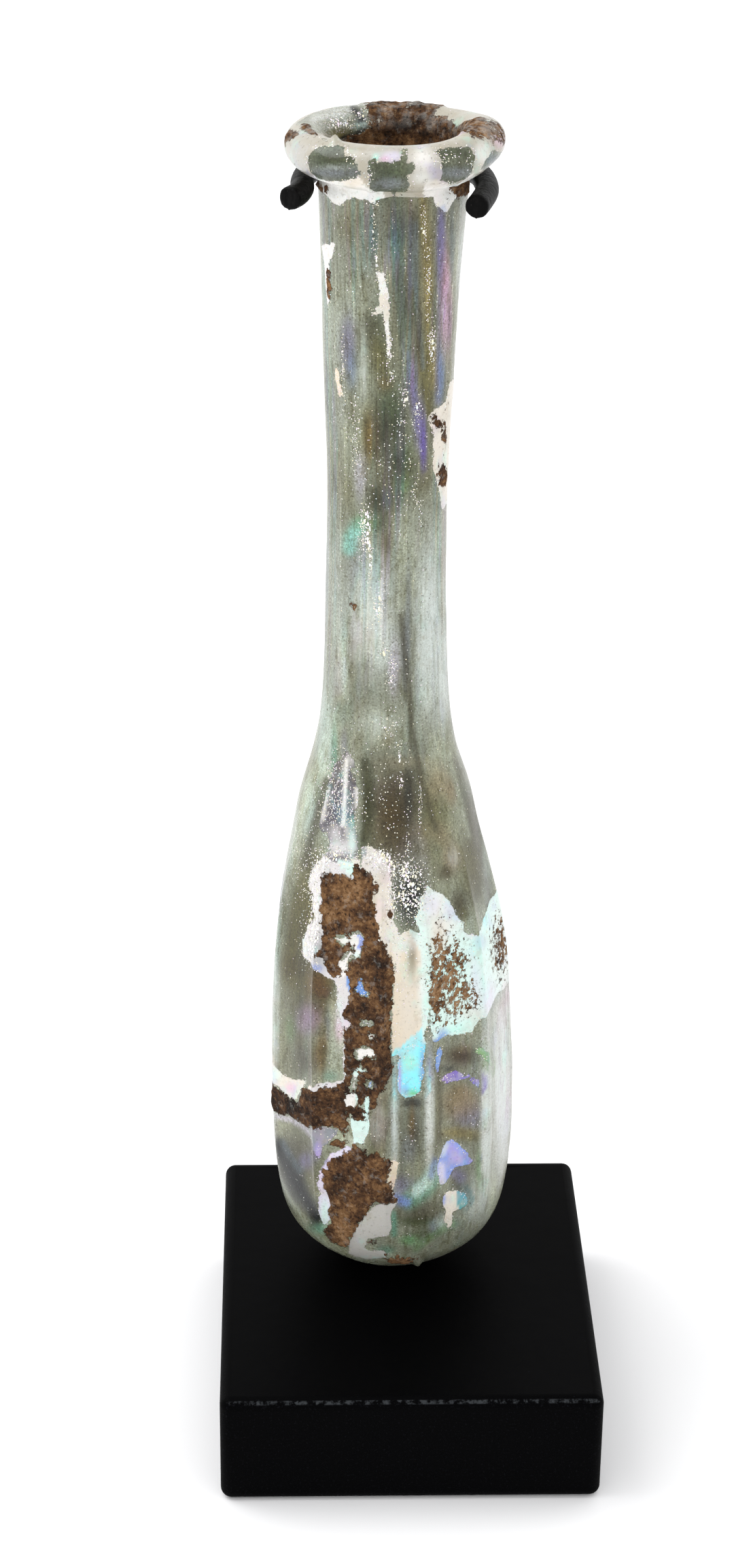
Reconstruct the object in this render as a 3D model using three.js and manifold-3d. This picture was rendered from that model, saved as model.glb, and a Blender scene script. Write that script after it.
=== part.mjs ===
// A Roman glass unguentarium with a fluted body, held upright by a bent rod in a square block.
// Millimetres, +Z up. The origin is the middle of the block's underside, and -Y is the front.

import * as THREE from "three";
import { mergeVertices } from "three/addons/utils/BufferGeometryUtils.js";
import Module from "manifold-3d";

// Block
const blockWidth = 56;
const blockDepth = 63;
const blockHeight = 18;
const blockEdgeRadius = 1.6;

// Rod and fork
const rodDiameter = 3.2;
const rodSides = 12;
const rodHoleDepth = 12;
const rodStraightHeight = 8;
const rodRearMargin = 0.15;
const forkDropBelowLip = 0.6;
const leftTipLength = 7.6;
const leftTipFlare = 1.8;
const rightTipLength = 11.2;
const rightTipFlare = 1.8;

// Gap between neighbours that touch, and the wider one that the uneven glass needs beside the rod
const clearance = 0.3;
const glassGap = 0.4;

// Bottle, outside. Heights are above the bottle's own foot.
const bottleHeight = 176.5;
const footRadius = 7;
const footKick = 0.9;
const bellyRadius = 18.65;
const bellyHeight = 31;
const upperBodyRadius = 17.4;
const upperBodyHeight = 56;
const shoulderRadius = 13.1;
const shoulderHeight = 76;
const neckRootRadius = 9.3;
const neckRootHeight = 92;
const neckWaistRadius = 8.3;
const neckWaistHeight = 121;
const neckRadius = 9;
const neckHeight = 147;
const neckTopRadius = 10.2;
const lipRadius = 14.7;
const lipWidth = 5.6;
const lipThickness = 5.3;

// Bottle, inside
const neckWall = 1.4;
const bodyWall = 1.5;
const baseThickness = 3;

// Hand-made unevenness: the axis drifts to the left, and the lip is tilted back, slightly oval, thicker in front
// and higher on the right
const footDrift = -1.9;
const neckDrift = -4;
const neckDriftHeight = 105;
const lipDrift = -3.6;
const lipTiltBack = THREE.MathUtils.degToRad(1.5);
const lipOval = 0.02;
const lipOvalAzimuth = THREE.MathUtils.degToRad(25);
const lipSwell = 0.12;
const lipSwellAzimuth = THREE.MathUtils.degToRad(10);
const lipSideLift = 1.2;
const lipSideLiftAzimuth = THREE.MathUtils.degToRad(78);

// Flutes: azimuth of each ridge in degrees, from the front and positive to the right, uneven as tooled by hand
const ridgeAzimuths = [-75, -40, -4, 19, 51, 85, 118, 151, 184, 216, 250];
const fluteDepth = 1.3;
const fluteFoot = 9;
const fluteTop = 82;
const fluteFadeBelow = 14;
const fluteFadeAbove = 26;
const facesPerFlute = 6;
const innerFluteShare = 0.85;

// Rounding from the foot to the belly, as shares of that height and of that growth in radius
const lowerBodyCurve = [[0.13, 0.5], [0.27, 0.79], [0.55, 0.96]];

// Vertex rows and columns
const lowerRows = 7;
const bodyRows = 13;
const neckRows = 7;
const lipRows = 10;
const boreRows = 5;
const innerRows = 9;
const postStations = 18;
const postSteps = 44;
const forkArcStations = 10;
const forkSteps = 36;
const holeSides = 24;

// The rod is inside the block's back edge even where it passes the belly, and that places the bottle
const rodRadius = rodDiameter / 2;
const bottleSeat = blockHeight + clearance;
const bottleSetBack = blockDepth / 2 - rodRearMargin - rodDiameter - glassGap - bellyRadius;
const neckTopHeight = bottleHeight - 1.25 * lipThickness;
const lowerCurveTop = bellyHeight * lowerBodyCurve[lowerBodyCurve.length - 1][0];
const wasm = await Module();
wasm.setup();

// Smooth step from 0 to 1 between two heights
function ease(value, low, high) {
  return THREE.MathUtils.smoothstep(value, low, high);
}

// Curve of the outside, from the foot's edge to the top of the neck, as radius against height
function makeWallCurve() {
  const rise = bellyRadius - footRadius;
  const stations = [
    [footRadius, 0],
    ...lowerBodyCurve.map(([up, out]) => [footRadius + out * rise, up * bellyHeight]),
    [bellyRadius, bellyHeight],
    [upperBodyRadius, upperBodyHeight],
    [shoulderRadius, shoulderHeight],
    [neckRootRadius, neckRootHeight],
    [neckWaistRadius, neckWaistHeight],
    [neckRadius, neckHeight],
    [neckTopRadius, neckTopHeight],
  ];
  return new THREE.SplineCurve(stations.map(([radius, height]) => new THREE.Vector2(radius, height)));
}

const wallCurve = makeWallCurve();
const wallSamples = wallCurve.getPoints(400);

// Outside radius of the wall at a height, from the sampled curve
function wallRadius(height) {
  const after = wallSamples.findIndex((point) => point.y >= height);
  if (after === 0) return wallSamples[0].x;
  if (after < 0) return wallSamples[wallSamples.length - 1].x;
  const low = wallSamples[after - 1];
  const high = wallSamples[after];
  return THREE.MathUtils.mapLinear(height, low.y, high.y, low.x, high.x);
}

// Sideways place of the bottle's axis at a height
function axisDrift(height) {
  const lean = THREE.MathUtils.lerp(footDrift, neckDrift, ease(height, 0, neckDriftHeight));
  return THREE.MathUtils.lerp(lean, lipDrift, ease(height, neckHeight, bottleHeight));
}

// Depth of the flutes at a height and at a share of the way from one ridge to the next
function fluteSink(height, share) {
  const strength = ease(height, fluteFoot, fluteFoot + fluteFadeBelow) *
    (1 - ease(height, fluteTop - fluteFadeAbove, fluteTop));
  return fluteDepth * strength * Math.sqrt(Math.sin(Math.PI * share));
}

// Azimuth of a share of the way round, stretched so that every ridge falls on a column of vertices
function warpAzimuth(column) {
  const count = ridgeAzimuths.length;
  const flute = Math.floor(column / facesPerFlute) % count;
  const share = (column % facesPerFlute) / facesPerFlute;
  const start = ridgeAzimuths[flute];
  const next = flute + 1 < count ? ridgeAzimuths[flute + 1] : ridgeAzimuths[0] + 360;
  return { azimuth: THREE.MathUtils.degToRad(THREE.MathUtils.lerp(start, next, share)), share };
}

// Round lip from the top of the neck, out over the top and in to the bore
function lipPoints() {
  const points = [];
  const middleRadius = lipRadius - lipWidth / 2;
  const middleHeight = bottleHeight - lipThickness / 2;
  const startAngle = THREE.MathUtils.degToRad(-110);
  const endAngle = THREE.MathUtils.degToRad(200);
  for (let step = 0; step <= lipRows; step += 1) {
    const angle = THREE.MathUtils.lerp(startAngle, endAngle, step / lipRows);
    points.push([
      middleRadius + (lipWidth / 2) * Math.cos(angle),
      middleHeight + (lipThickness / 2) * Math.sin(angle),
    ]);
  }
  return points;
}

// Closed profile of the glass: foot, outside, lip, bore and inner bottom. Each point is radius, height and
// the share of the flutes' depth that reaches it.
function bottleProfile() {
  const profile = [[0, footKick, 0], [footRadius * 0.55, footKick * 0.6, 0], [footRadius * 0.92, 0, 0]];
  for (let step = 1; step <= lowerRows; step += 1) {
    const height = lowerCurveTop * (step / lowerRows) ** 1.7;
    profile.push([wallRadius(height), height, 1]);
  }
  for (let step = 1; step <= bodyRows; step += 1) {
    const height = THREE.MathUtils.lerp(lowerCurveTop, neckRootHeight, step / bodyRows);
    profile.push([wallRadius(height), height, 1]);
  }
  for (let step = 1; step <= neckRows; step += 1) {
    const height = THREE.MathUtils.lerp(neckRootHeight, neckTopHeight, step / neckRows);
    profile.push([wallRadius(height), height, 0]);
  }
  lipPoints().forEach(([radius, height]) => profile.push([radius, height, 0]));
  for (let step = 0; step < boreRows; step += 1) {
    const height = THREE.MathUtils.lerp(neckTopHeight, neckRootHeight, step / boreRows);
    profile.push([wallRadius(height) - neckWall, height, 0]);
  }
  const cornerHeight = lowerBodyCurve[0][0] * bellyHeight;
  for (let step = 0; step <= innerRows; step += 1) {
    const height = THREE.MathUtils.lerp(neckRootHeight, baseThickness + cornerHeight, step / innerRows);
    const blend = ease(height, shoulderHeight, neckRootHeight);
    const wall = THREE.MathUtils.lerp(bodyWall, neckWall, blend);
    profile.push([wallRadius(height) - wall, height, innerFluteShare]);
  }
  const cornerRadius = wallRadius(baseThickness + cornerHeight) - bodyWall;
  profile.push([cornerRadius * 0.78, baseThickness + cornerHeight * 0.27, 0]);
  profile.push([cornerRadius * 0.4, baseThickness, 0]);
  profile.push([0, baseThickness, 0]);
  return profile;
}

// Height of a point near the lip after the swelling of its front and the lift of its right side
function unevenLip(height, azimuth) {
  const lipFoot = bottleHeight - lipThickness;
  const middle = bottleHeight - lipThickness / 2;
  const side = Math.max(Math.cos(azimuth - lipSideLiftAzimuth), 0) ** 4;
  const lift = lipSideLift * side * ease(height, neckHeight, lipFoot);
  if (height < bottleHeight - 1.1 * lipThickness) return height + lift;
  const front = Math.max(Math.cos(azimuth - lipSwellAzimuth), 0) ** 2;
  return middle + (height - middle) * (1 + lipSwell * front) + lift;
}

// The bottle: a lathe form whose vertices are then moved by the flutes, the drift and the uneven lip
function makeBottle() {
  const profile = bottleProfile();
  const columns = ridgeAzimuths.length * facesPerFlute;
  const outline = profile.map(([radius, height]) => new THREE.Vector2(radius, height));
  const geometry = new THREE.LatheGeometry(outline, columns);
  const position = geometry.attributes.position;
  for (let column = 0; column <= columns; column += 1) {
    const { azimuth, share } = warpAzimuth(column % columns);
    profile.forEach(([radius, height, sunk], row) => {
      const lipShare = ease(height, neckHeight, bottleHeight - lipThickness);
      const oval = 1 + lipOval * lipShare * Math.cos(2 * (azimuth - lipOvalAzimuth));
      const reach = Math.max(radius - sunk * fluteSink(height, share), 0) * oval;
      const x = axisDrift(height) + reach * Math.sin(azimuth);
      const fromAxis = -reach * Math.cos(azimuth);
      const z = unevenLip(height, azimuth) - lipShare * Math.tan(lipTiltBack) * fromAxis;
      position.setXYZ(column * profile.length + row, x, bottleSetBack + fromAxis, bottleSeat + z);
    });
  }
  return fromManifold(solidOf(geometry));
}

// Geometry of a closed solid
function fromManifold(solid) {
  const mesh = solid.getMesh();
  const geometry = new THREE.BufferGeometry();
  geometry.setAttribute("position", new THREE.BufferAttribute(new Float32Array(mesh.vertProperties), 3));
  geometry.setIndex(new THREE.BufferAttribute(new Uint32Array(mesh.triVerts), 1));
  geometry.computeVertexNormals();
  return geometry;
}

// Closed solid of any three.js geometry, with its shared vertices merged
function solidOf(source) {
  const bare = source.clone();
  bare.deleteAttribute("normal");
  bare.deleteAttribute("uv");
  const merged = mergeVertices(bare, 1e-4);
  const vertProperties = new Float32Array(merged.attributes.position.array);
  const triVerts = new Uint32Array(merged.index.array);
  return new wasm.Manifold(new wasm.Mesh({ numProp: 3, vertProperties, triVerts }));
}

// Round section of the rod
function rodSection() {
  const section = new THREE.Shape();
  for (let side = 0; side < rodSides; side += 1) {
    const angle = (2 * Math.PI * side) / rodSides;
    const x = rodRadius * Math.cos(angle);
    const y = rodRadius * Math.sin(angle);
    if (side === 0) section.moveTo(x, y);
    else section.lineTo(x, y);
  }
  section.closePath();
  return section;
}

// Rod along a smooth path through points
function rodAlong(points, steps) {
  const path = new THREE.CatmullRomCurve3(points);
  return new THREE.ExtrudeGeometry(rodSection(), { steps, extrudePath: path });
}

// Point of the rod's middle line beside the wall, square to it, as radius and height
function besideWall(height) {
  const reach = 0.5;
  const slope = (wallRadius(height + reach) - wallRadius(height - reach)) / (2 * reach);
  const stretch = (glassGap + rodRadius) / Math.hypot(1, slope);
  return new THREE.Vector2(wallRadius(height) + stretch, height - slope * stretch);
}

// Place of the fork, just under the lip, and of the rod's hole, as radius and height
const forkWallHeight = bottleHeight - lipThickness - forkDropBelowLip - rodRadius;
const forkSeat = besideWall(forkWallHeight);
const rodHoleOffset = besideWall(rodStraightHeight).x;

// Path of the post: straight out of its hole, then close behind the bottle's wall up to the fork
function postPoints() {
  const holeY = bottleSetBack + rodHoleOffset;
  const holeX = axisDrift(rodStraightHeight);
  const points = [
    new THREE.Vector3(holeX, holeY, blockHeight - rodHoleDepth + clearance),
    new THREE.Vector3(holeX, holeY, blockHeight),
  ];
  for (let step = 0; step <= postStations; step += 1) {
    const beside = besideWall(THREE.MathUtils.lerp(rodStraightHeight, forkWallHeight, step / postStations));
    points.push(new THREE.Vector3(axisDrift(beside.y), bottleSetBack + beside.x, bottleSeat + beside.y));
  }
  return points;
}

// Path of the fork: left tip, left side, round the back, right side and right tip, all on one level
function forkPoints() {
  const centreX = axisDrift(forkSeat.y);
  const level = bottleSeat + forkSeat.y;
  const forkRadius = forkSeat.x;
  const at = (x, y) => new THREE.Vector3(centreX + x, bottleSetBack + y, level);
  const points = [
    at(-forkRadius - leftTipFlare, -leftTipLength),
    at(-forkRadius - 0.35 * leftTipFlare, -0.72 * leftTipLength),
    at(-forkRadius, -0.35 * leftTipLength),
  ];
  for (let step = 0; step <= forkArcStations; step += 1) {
    const angle = (Math.PI * step) / forkArcStations;
    points.push(at(-forkRadius * Math.cos(angle), forkRadius * Math.sin(angle)));
  }
  points.push(at(forkRadius, -0.35 * rightTipLength));
  points.push(at(forkRadius - 0.5 * rightTipFlare, -0.72 * rightTipLength));
  points.push(at(forkRadius - rightTipFlare, -rightTipLength));
  return points;
}

// Post and fork soldered into one rod
function makeRod() {
  const post = solidOf(rodAlong(postPoints(), postSteps));
  const fork = solidOf(rodAlong(forkPoints(), forkSteps));
  return fromManifold(post.add(fork));
}

// Block with rounded edges and the hole that takes the rod
function makeBlock() {
  const halfWidth = blockWidth / 2 - blockEdgeRadius;
  const halfDepth = blockDepth / 2 - blockEdgeRadius;
  const outline = new THREE.Shape();
  outline.moveTo(-halfWidth, -halfDepth);
  outline.lineTo(halfWidth, -halfDepth);
  outline.lineTo(halfWidth, halfDepth);
  outline.lineTo(-halfWidth, halfDepth);
  outline.closePath();
  const body = new THREE.ExtrudeGeometry(outline, {
    depth: blockHeight - 2 * blockEdgeRadius,
    bevelThickness: blockEdgeRadius,
    bevelSize: blockEdgeRadius,
    bevelSegments: 4,
  });
  body.translate(0, 0, blockEdgeRadius);
  const holeRadius = rodRadius + clearance;
  const cutHeight = rodHoleDepth + clearance;
  const hole = new THREE.CylinderGeometry(holeRadius, holeRadius, cutHeight, holeSides);
  hole.rotateX(Math.PI / 2);
  hole.translate(
    axisDrift(rodStraightHeight),
    bottleSetBack + rodHoleOffset,
    blockHeight - rodHoleDepth + cutHeight / 2,
  );
  return fromManifold(solidOf(body).subtract(solidOf(hole)));
}

// One named mesh with its own material
function piece(name, geometry, color, roughness, metalness, more = {}) {
  const material = new THREE.MeshStandardMaterial({ color, roughness, metalness, ...more });
  const mesh = new THREE.Mesh(geometry, material);
  mesh.name = name;
  return mesh;
}

const unguentarium = new THREE.Group();
unguentarium.add(
  piece("glass_bottle", makeBottle(), 0x8f9a86, 0.25, 0, { transparent: true, opacity: 0.9 }),
  piece("stand_rod_with_fork", makeRod(), 0x131313, 0.5, 0),
  piece("base_block", makeBlock(), 0x08080a, 0.3, 0),
);

export default unguentarium;
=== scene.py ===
# %% [markdown]
# This lesson builds a Roman glass unguentarium, a small flask for oil or perfume. It was blown, its
# body was pressed into flutes while it was hot, and its lip was folded into a thick round roll. Then it
# lay in the ground for centuries. The glass turned cloudy, split into thin layers that shine in rainbow
# colours, and kept a crust of brown soil. A bent rod with a fork holds it up, and the rod stands in a
# black block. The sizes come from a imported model, so this script first loads that model as a frame and
# builds round it.

# %% The frame
import math

import bmesh
import bpy
import numpy as np
from mathutils import Matrix, Vector, noise
from mathutils.bvhtree import BVHTree


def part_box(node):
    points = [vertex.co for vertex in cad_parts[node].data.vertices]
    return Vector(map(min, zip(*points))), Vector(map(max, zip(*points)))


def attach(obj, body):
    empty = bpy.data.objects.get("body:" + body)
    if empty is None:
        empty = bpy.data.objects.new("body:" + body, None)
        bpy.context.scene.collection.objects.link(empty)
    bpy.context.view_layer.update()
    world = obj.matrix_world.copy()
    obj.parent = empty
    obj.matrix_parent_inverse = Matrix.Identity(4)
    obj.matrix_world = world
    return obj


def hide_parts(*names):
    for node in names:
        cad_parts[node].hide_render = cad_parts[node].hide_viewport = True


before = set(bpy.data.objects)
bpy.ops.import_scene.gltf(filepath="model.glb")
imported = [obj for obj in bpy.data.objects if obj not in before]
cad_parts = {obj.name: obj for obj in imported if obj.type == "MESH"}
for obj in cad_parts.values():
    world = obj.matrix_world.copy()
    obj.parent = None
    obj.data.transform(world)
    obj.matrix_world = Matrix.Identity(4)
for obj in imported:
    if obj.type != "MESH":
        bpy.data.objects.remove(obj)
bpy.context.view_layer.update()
MM = 0.001
BLOCK_LOW, BLOCK_HIGH = [np.array(corner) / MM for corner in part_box("base_block")]

# %% [markdown]
# The camera comes first, because the patches of soil and shine are drawn later where the photograph
# shows them. A lens is known once its distance from the object, measured in picture pixels, is known.
# The picture is 1080 by 2306 pixels, and the long side of the sensor stands for the long side of the
# picture.

# %% Camera
PICTURE = (1080, 2306)
FOCUS_PIXELS = 4800
SENSOR = 36
EYE = Vector((-18.27, -412.48, 311.82)) * MM
LOOK_DOWN = math.radians(26.908)
LOOK_ASIDE = math.radians(-1.613)
ROLL = math.radians(0.595)
CLIP = (0.01, 20)


def camera_axes():
    """Right, up and backward directions of the camera."""
    back = Vector((
        math.sin(LOOK_ASIDE) * math.cos(LOOK_DOWN),
        -math.cos(LOOK_ASIDE) * math.cos(LOOK_DOWN),
        math.sin(LOOK_DOWN),
    ))
    right = (-back).cross(Vector((0, 0, 1))).normalized()
    up = right.cross(-back)
    turned_right = right * math.cos(ROLL) + up * math.sin(ROLL)
    turned_up = up * math.cos(ROLL) - right * math.sin(ROLL)
    return turned_right, turned_up, back


RIGHT, UP, BACK = camera_axes()


def make_camera():
    """A camera that sees what the photograph shows."""
    data = bpy.data.cameras.new("camera")
    data.sensor_width = SENSOR
    data.lens = SENSOR * FOCUS_PIXELS / max(PICTURE)
    data.clip_start, data.clip_end = CLIP
    camera = bpy.data.objects.new("camera", data)
    camera.matrix_world = Matrix.Translation(EYE) @ Matrix((RIGHT, UP, BACK)).transposed().to_4x4()
    bpy.context.collection.objects.link(camera)
    bpy.context.scene.camera = camera
    print("Lens of", round(data.lens, 1), "mm")


make_camera()


def pixel_ray(x, y):
    """Direction from the eye through a pixel of the picture."""
    across = (x - PICTURE[0] / 2) / FOCUS_PIXELS
    down = (y - PICTURE[1] / 2) / FOCUS_PIXELS
    return (RIGHT * across - UP * down - BACK).normalized()


def pixels_of(places):
    """Pixels of the picture where points in metres are seen."""
    seen = (places - np.array(EYE)) @ np.array([RIGHT, UP, BACK]).T
    scale = FOCUS_PIXELS / -seen[:, 2]
    return PICTURE[0] / 2 + seen[:, 0] * scale, PICTURE[1] / 2 - seen[:, 1] * scale


# %% [markdown]
# The flask is a turned form, so its outside is one curve of radius against height. These are the sizes
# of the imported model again, in millimetres above the flask's own foot. The curve is a spline that
# passes through every station, and the stations on either side set its slope there.

# %% Sizes of the flask
BOTTLE_HEIGHT = 176.5
FOOT_RADIUS = 7
FOOT_KICK = 0.9
BELLY_RADIUS = 18.65
BELLY_HEIGHT = 31
LIP_RADIUS = 14.7
LIP_WIDTH = 5.6
LIP_THICKNESS = 5.3
UPPER_BODY = (17.4, 56)
SHOULDER = (13.1, 76)
NECK_ROOT_RADIUS = 9.3
NECK_ROOT_HEIGHT = 92
NECK_WAIST = (8.3, 121)
NECK_RADIUS = 9
NECK_HEIGHT = 147
NECK_TOP_RADIUS = 10.2
NECK_TOP = BOTTLE_HEIGHT - 1.25 * LIP_THICKNESS
NECK_WALL = 1.4
BODY_WALL = 1.5
BASE_THICKNESS = 3
ROD_DIAMETER = 3.2
ROD_REAR_MARGIN = 0.15
GLASS_GAP = 0.4
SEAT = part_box("glass_bottle")[0][2] / MM
SET_BACK = BLOCK_HIGH[1] - ROD_REAR_MARGIN - ROD_DIAMETER - GLASS_GAP - BELLY_RADIUS
LOWER_BODY_CURVE = [(0.13, 0.5), (0.27, 0.79), (0.55, 0.96)]
WALL_STEPS = 600


def smooth(value, low, high):
    """Smooth step from 0 to 1 between two bounds."""
    share = np.clip((value - low) / (high - low), 0, 1)
    return share * share * (3 - 2 * share)


def mix(low, high, share):
    """Blend of two values."""
    return low + (high - low) * share


def spline(stations, steps):
    """Points of a smooth curve through stations, with the end ones repeated."""
    last = len(stations) - 1
    points = []
    for step in range(steps + 1):
        place = last * step / steps
        start = min(int(place), last - 1)
        share = place - start
        a, b, c, d = [np.array(stations[min(max(start + shift, 0), last)]) for shift in (-1, 0, 1, 2)]
        into, out = (c - a) / 2, (d - b) / 2
        points.append(
            (2 * b - 2 * c + into + out) * share ** 3
            + (3 * c - 3 * b - 2 * into - out) * share ** 2
            + into * share
            + b
        )
    return np.array(points)


RISE = BELLY_RADIUS - FOOT_RADIUS
WALL = spline(
    [(FOOT_RADIUS, 0)]
    + [(FOOT_RADIUS + out * RISE, up * BELLY_HEIGHT) for up, out in LOWER_BODY_CURVE]
    + [(BELLY_RADIUS, BELLY_HEIGHT), UPPER_BODY, SHOULDER, (NECK_ROOT_RADIUS, NECK_ROOT_HEIGHT), NECK_WAIST]
    + [(NECK_RADIUS, NECK_HEIGHT), (NECK_TOP_RADIUS, NECK_TOP)],
    WALL_STEPS,
)


def wall_radius(height):
    """Outside radius of the wall at a height."""
    return np.interp(height, WALL[:, 1], WALL[:, 0])


print("Radius at the belly:", round(float(wall_radius(BELLY_HEIGHT)), 2), "mm")

# %% [markdown]
# The whole profile runs from the middle of the foot over the outside, round the lip and down the inside
# to the middle of the inner bottom. Points are then set along it by distance: close together outside,
# where relief will be needed, and further apart inside. The distance along the profile is a useful
# second coordinate beside the azimuth, because no two places on the glass share both.

# %% Profile
ROW = 0.62
LIP_ROW = 0.42
BORE_ROW = 0.9
INNER_ROW = 3.0
VISIBLE_BORE = 24
LIP_ARC = (-110, 200)
CORNER_HEIGHT = LOWER_BODY_CURVE[0][0] * BELLY_HEIGHT


def lip_arc():
    """Round lip, from under its outer edge over the top and in to the bore."""
    angles = np.radians(np.linspace(*LIP_ARC, 60))
    middle = BOTTLE_HEIGHT - LIP_THICKNESS / 2
    across = LIP_RADIUS - LIP_WIDTH / 2 + LIP_WIDTH / 2 * np.cos(angles)
    return np.column_stack([across, middle + LIP_THICKNESS / 2 * np.sin(angles)])


def resample(line, spacing):
    """Points at about an even spacing along a line."""
    lengths = np.concatenate([[0], np.cumsum(np.hypot(*np.diff(line, axis=0).T))])
    count = max(round(lengths[-1] / spacing), 1)
    places = np.linspace(0, lengths[-1], count + 1)
    return np.column_stack([np.interp(places, lengths, line[:, side]) for side in (0, 1)])


def make_profile():
    """Profile of the glass, and the rows at which the outside, the lip and the bore end."""
    foot = spline([(0, FOOT_KICK), (0.55 * FOOT_RADIUS, 0.6 * FOOT_KICK), (0.92 * FOOT_RADIUS, 0)], 12)
    outside = resample(np.vstack([foot, WALL[WALL[:, 1] > 0.12]]), ROW)
    lip = resample(np.vstack([outside[-1:], lip_arc()]), LIP_ROW)[1:]
    depths = np.linspace(NECK_TOP, NECK_TOP - VISIBLE_BORE, 60)
    bore = resample(np.column_stack([wall_radius(depths) - NECK_WALL, depths]), BORE_ROW)
    depths = np.linspace(NECK_TOP - VISIBLE_BORE, BASE_THICKNESS + CORNER_HEIGHT, 300)[1:]
    walls = mix(BODY_WALL, NECK_WALL, smooth(depths, SHOULDER[1], NECK_ROOT_HEIGHT))
    inside = np.column_stack([wall_radius(depths) - walls, depths])
    corner = inside[-1, 0]
    bottom = spline([
        inside[-1],
        (0.78 * corner, BASE_THICKNESS + 0.27 * CORNER_HEIGHT),
        (0.4 * corner, BASE_THICKNESS),
        (0, BASE_THICKNESS),
    ], 12)
    inside = resample(np.vstack([inside, bottom[1:]]), INNER_ROW)
    profile = np.vstack([outside, lip, bore, inside])
    ends = np.cumsum([len(outside), len(lip), len(bore)])
    return profile, ends


PROFILE, (OUTSIDE_END, LIP_END, BORE_END) = make_profile()
ALONG = np.concatenate([[0], np.cumsum(np.hypot(*np.diff(PROFILE, axis=0).T))])
PROFILE[0, 0] = PROFILE[-1, 0] = 0
print(len(PROFILE), "rows,", round(float(ALONG[-1])), "mm along the profile")

# %% [markdown]
# The flutes were pressed by hand one after the other, so no two are the same width. Each flute is a
# hollow between two ridges, and the list holds where the ridges are, from the front round to the front
# again. The hand also shows in the axis, which drifts to the left, and in the lip, which leans back and
# is thicker in front and higher on the right. Every rule works on whole arrays of points, which is far
# quicker than a loop over points.

# %% Flutes and unevenness
RIDGES = np.radians([-75, -40, -4, 19, 51, 85, 118, 151, 184, 216, 250, 285])
FLUTE_DEPTH = 1.3
FLUTE_FOOT = 9
FLUTE_TOP = 82
FLUTE_FADE_BELOW = 14
FLUTE_FADE_ABOVE = 26
RIDGE_ROUNDING = 0.012
INNER_FLUTE_SHARE = 0.85
FOOT_DRIFT = -1.9
NECK_DRIFT = -4
NECK_DRIFT_HEIGHT = 105
LIP_DRIFT = -3.6
LIP_SIDE = math.radians(78)
LIP_SIDE_LIFT = 1.2
LIP_FRONT = math.radians(10)
LIP_SWELL = 0.12
LIP_OVAL = 0.02
LIP_OVAL_SIDE = math.radians(25)
LIP_TILT_BACK = math.radians(1.5)


def flute_sink(height, azimuth):
    """Depth that the flutes take off the radius."""
    turned = np.mod(azimuth - RIDGES[0], 2 * np.pi) + RIDGES[0]
    start = np.clip(np.searchsorted(RIDGES, turned, side="right") - 1, 0, len(RIDGES) - 2)
    share = (turned - RIDGES[start]) / (RIDGES[start + 1] - RIDGES[start])
    hollow = np.sqrt(np.sin(np.pi * np.clip(share, 0, 1)) + RIDGE_ROUNDING) - math.sqrt(RIDGE_ROUNDING)
    strength = smooth(height, FLUTE_FOOT, FLUTE_FOOT + FLUTE_FADE_BELOW)
    strength = strength * (1 - smooth(height, FLUTE_TOP - FLUTE_FADE_ABOVE, FLUTE_TOP))
    return FLUTE_DEPTH * strength * hollow


def axis_drift(height):
    """Sideways place of the flask's axis."""
    lean = mix(FOOT_DRIFT, NECK_DRIFT, smooth(height, 0, NECK_DRIFT_HEIGHT))
    return mix(lean, LIP_DRIFT, smooth(height, NECK_HEIGHT, BOTTLE_HEIGHT))


def uneven_lip(height, azimuth):
    """Height of a point after the swelling of the lip's front and the lift of its right side."""
    foot = BOTTLE_HEIGHT - LIP_THICKNESS
    middle = BOTTLE_HEIGHT - LIP_THICKNESS / 2
    side = np.maximum(np.cos(azimuth - LIP_SIDE), 0) ** 4
    lift = LIP_SIDE_LIFT * side * smooth(height, NECK_HEIGHT, foot)
    front = np.maximum(np.cos(azimuth - LIP_FRONT), 0) ** 2
    swell = LIP_SWELL * front * smooth(height, foot - 0.5, foot)
    return height + (height - middle) * swell + lift


def place_glass(radius, height, sunk, azimuth):
    """Points of the glass in millimetres of the model's frame, before any relief."""
    lip_share = smooth(height, NECK_HEIGHT, BOTTLE_HEIGHT - LIP_THICKNESS)
    oval = 1 + LIP_OVAL * lip_share * np.cos(2 * (azimuth - LIP_OVAL_SIDE))
    reach = np.maximum(radius - sunk * flute_sink(height, azimuth), 0) * oval
    from_axis = -reach * np.cos(azimuth)
    z = uneven_lip(height, azimuth) - lip_share * math.tan(LIP_TILT_BACK) * from_axis
    return np.column_stack([axis_drift(height) + reach * np.sin(azimuth), SET_BACK + from_axis, SEAT + z])


print(len(RIDGES) - 1, "flutes")


# %% [markdown]
# Spinning the profile round an axis gives the closed glass in one operation. Spin sets its columns at
# even angles, so the angles are then squeezed together towards the front, where the camera looks. Each
# vertex keeps its row of the profile in a layer of its own, which spin copies, and from it the radius,
# height and distance are looked up.

# %% The turned glass
COLUMNS = 232
FRONT_SQUEEZE = 0.36


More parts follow.
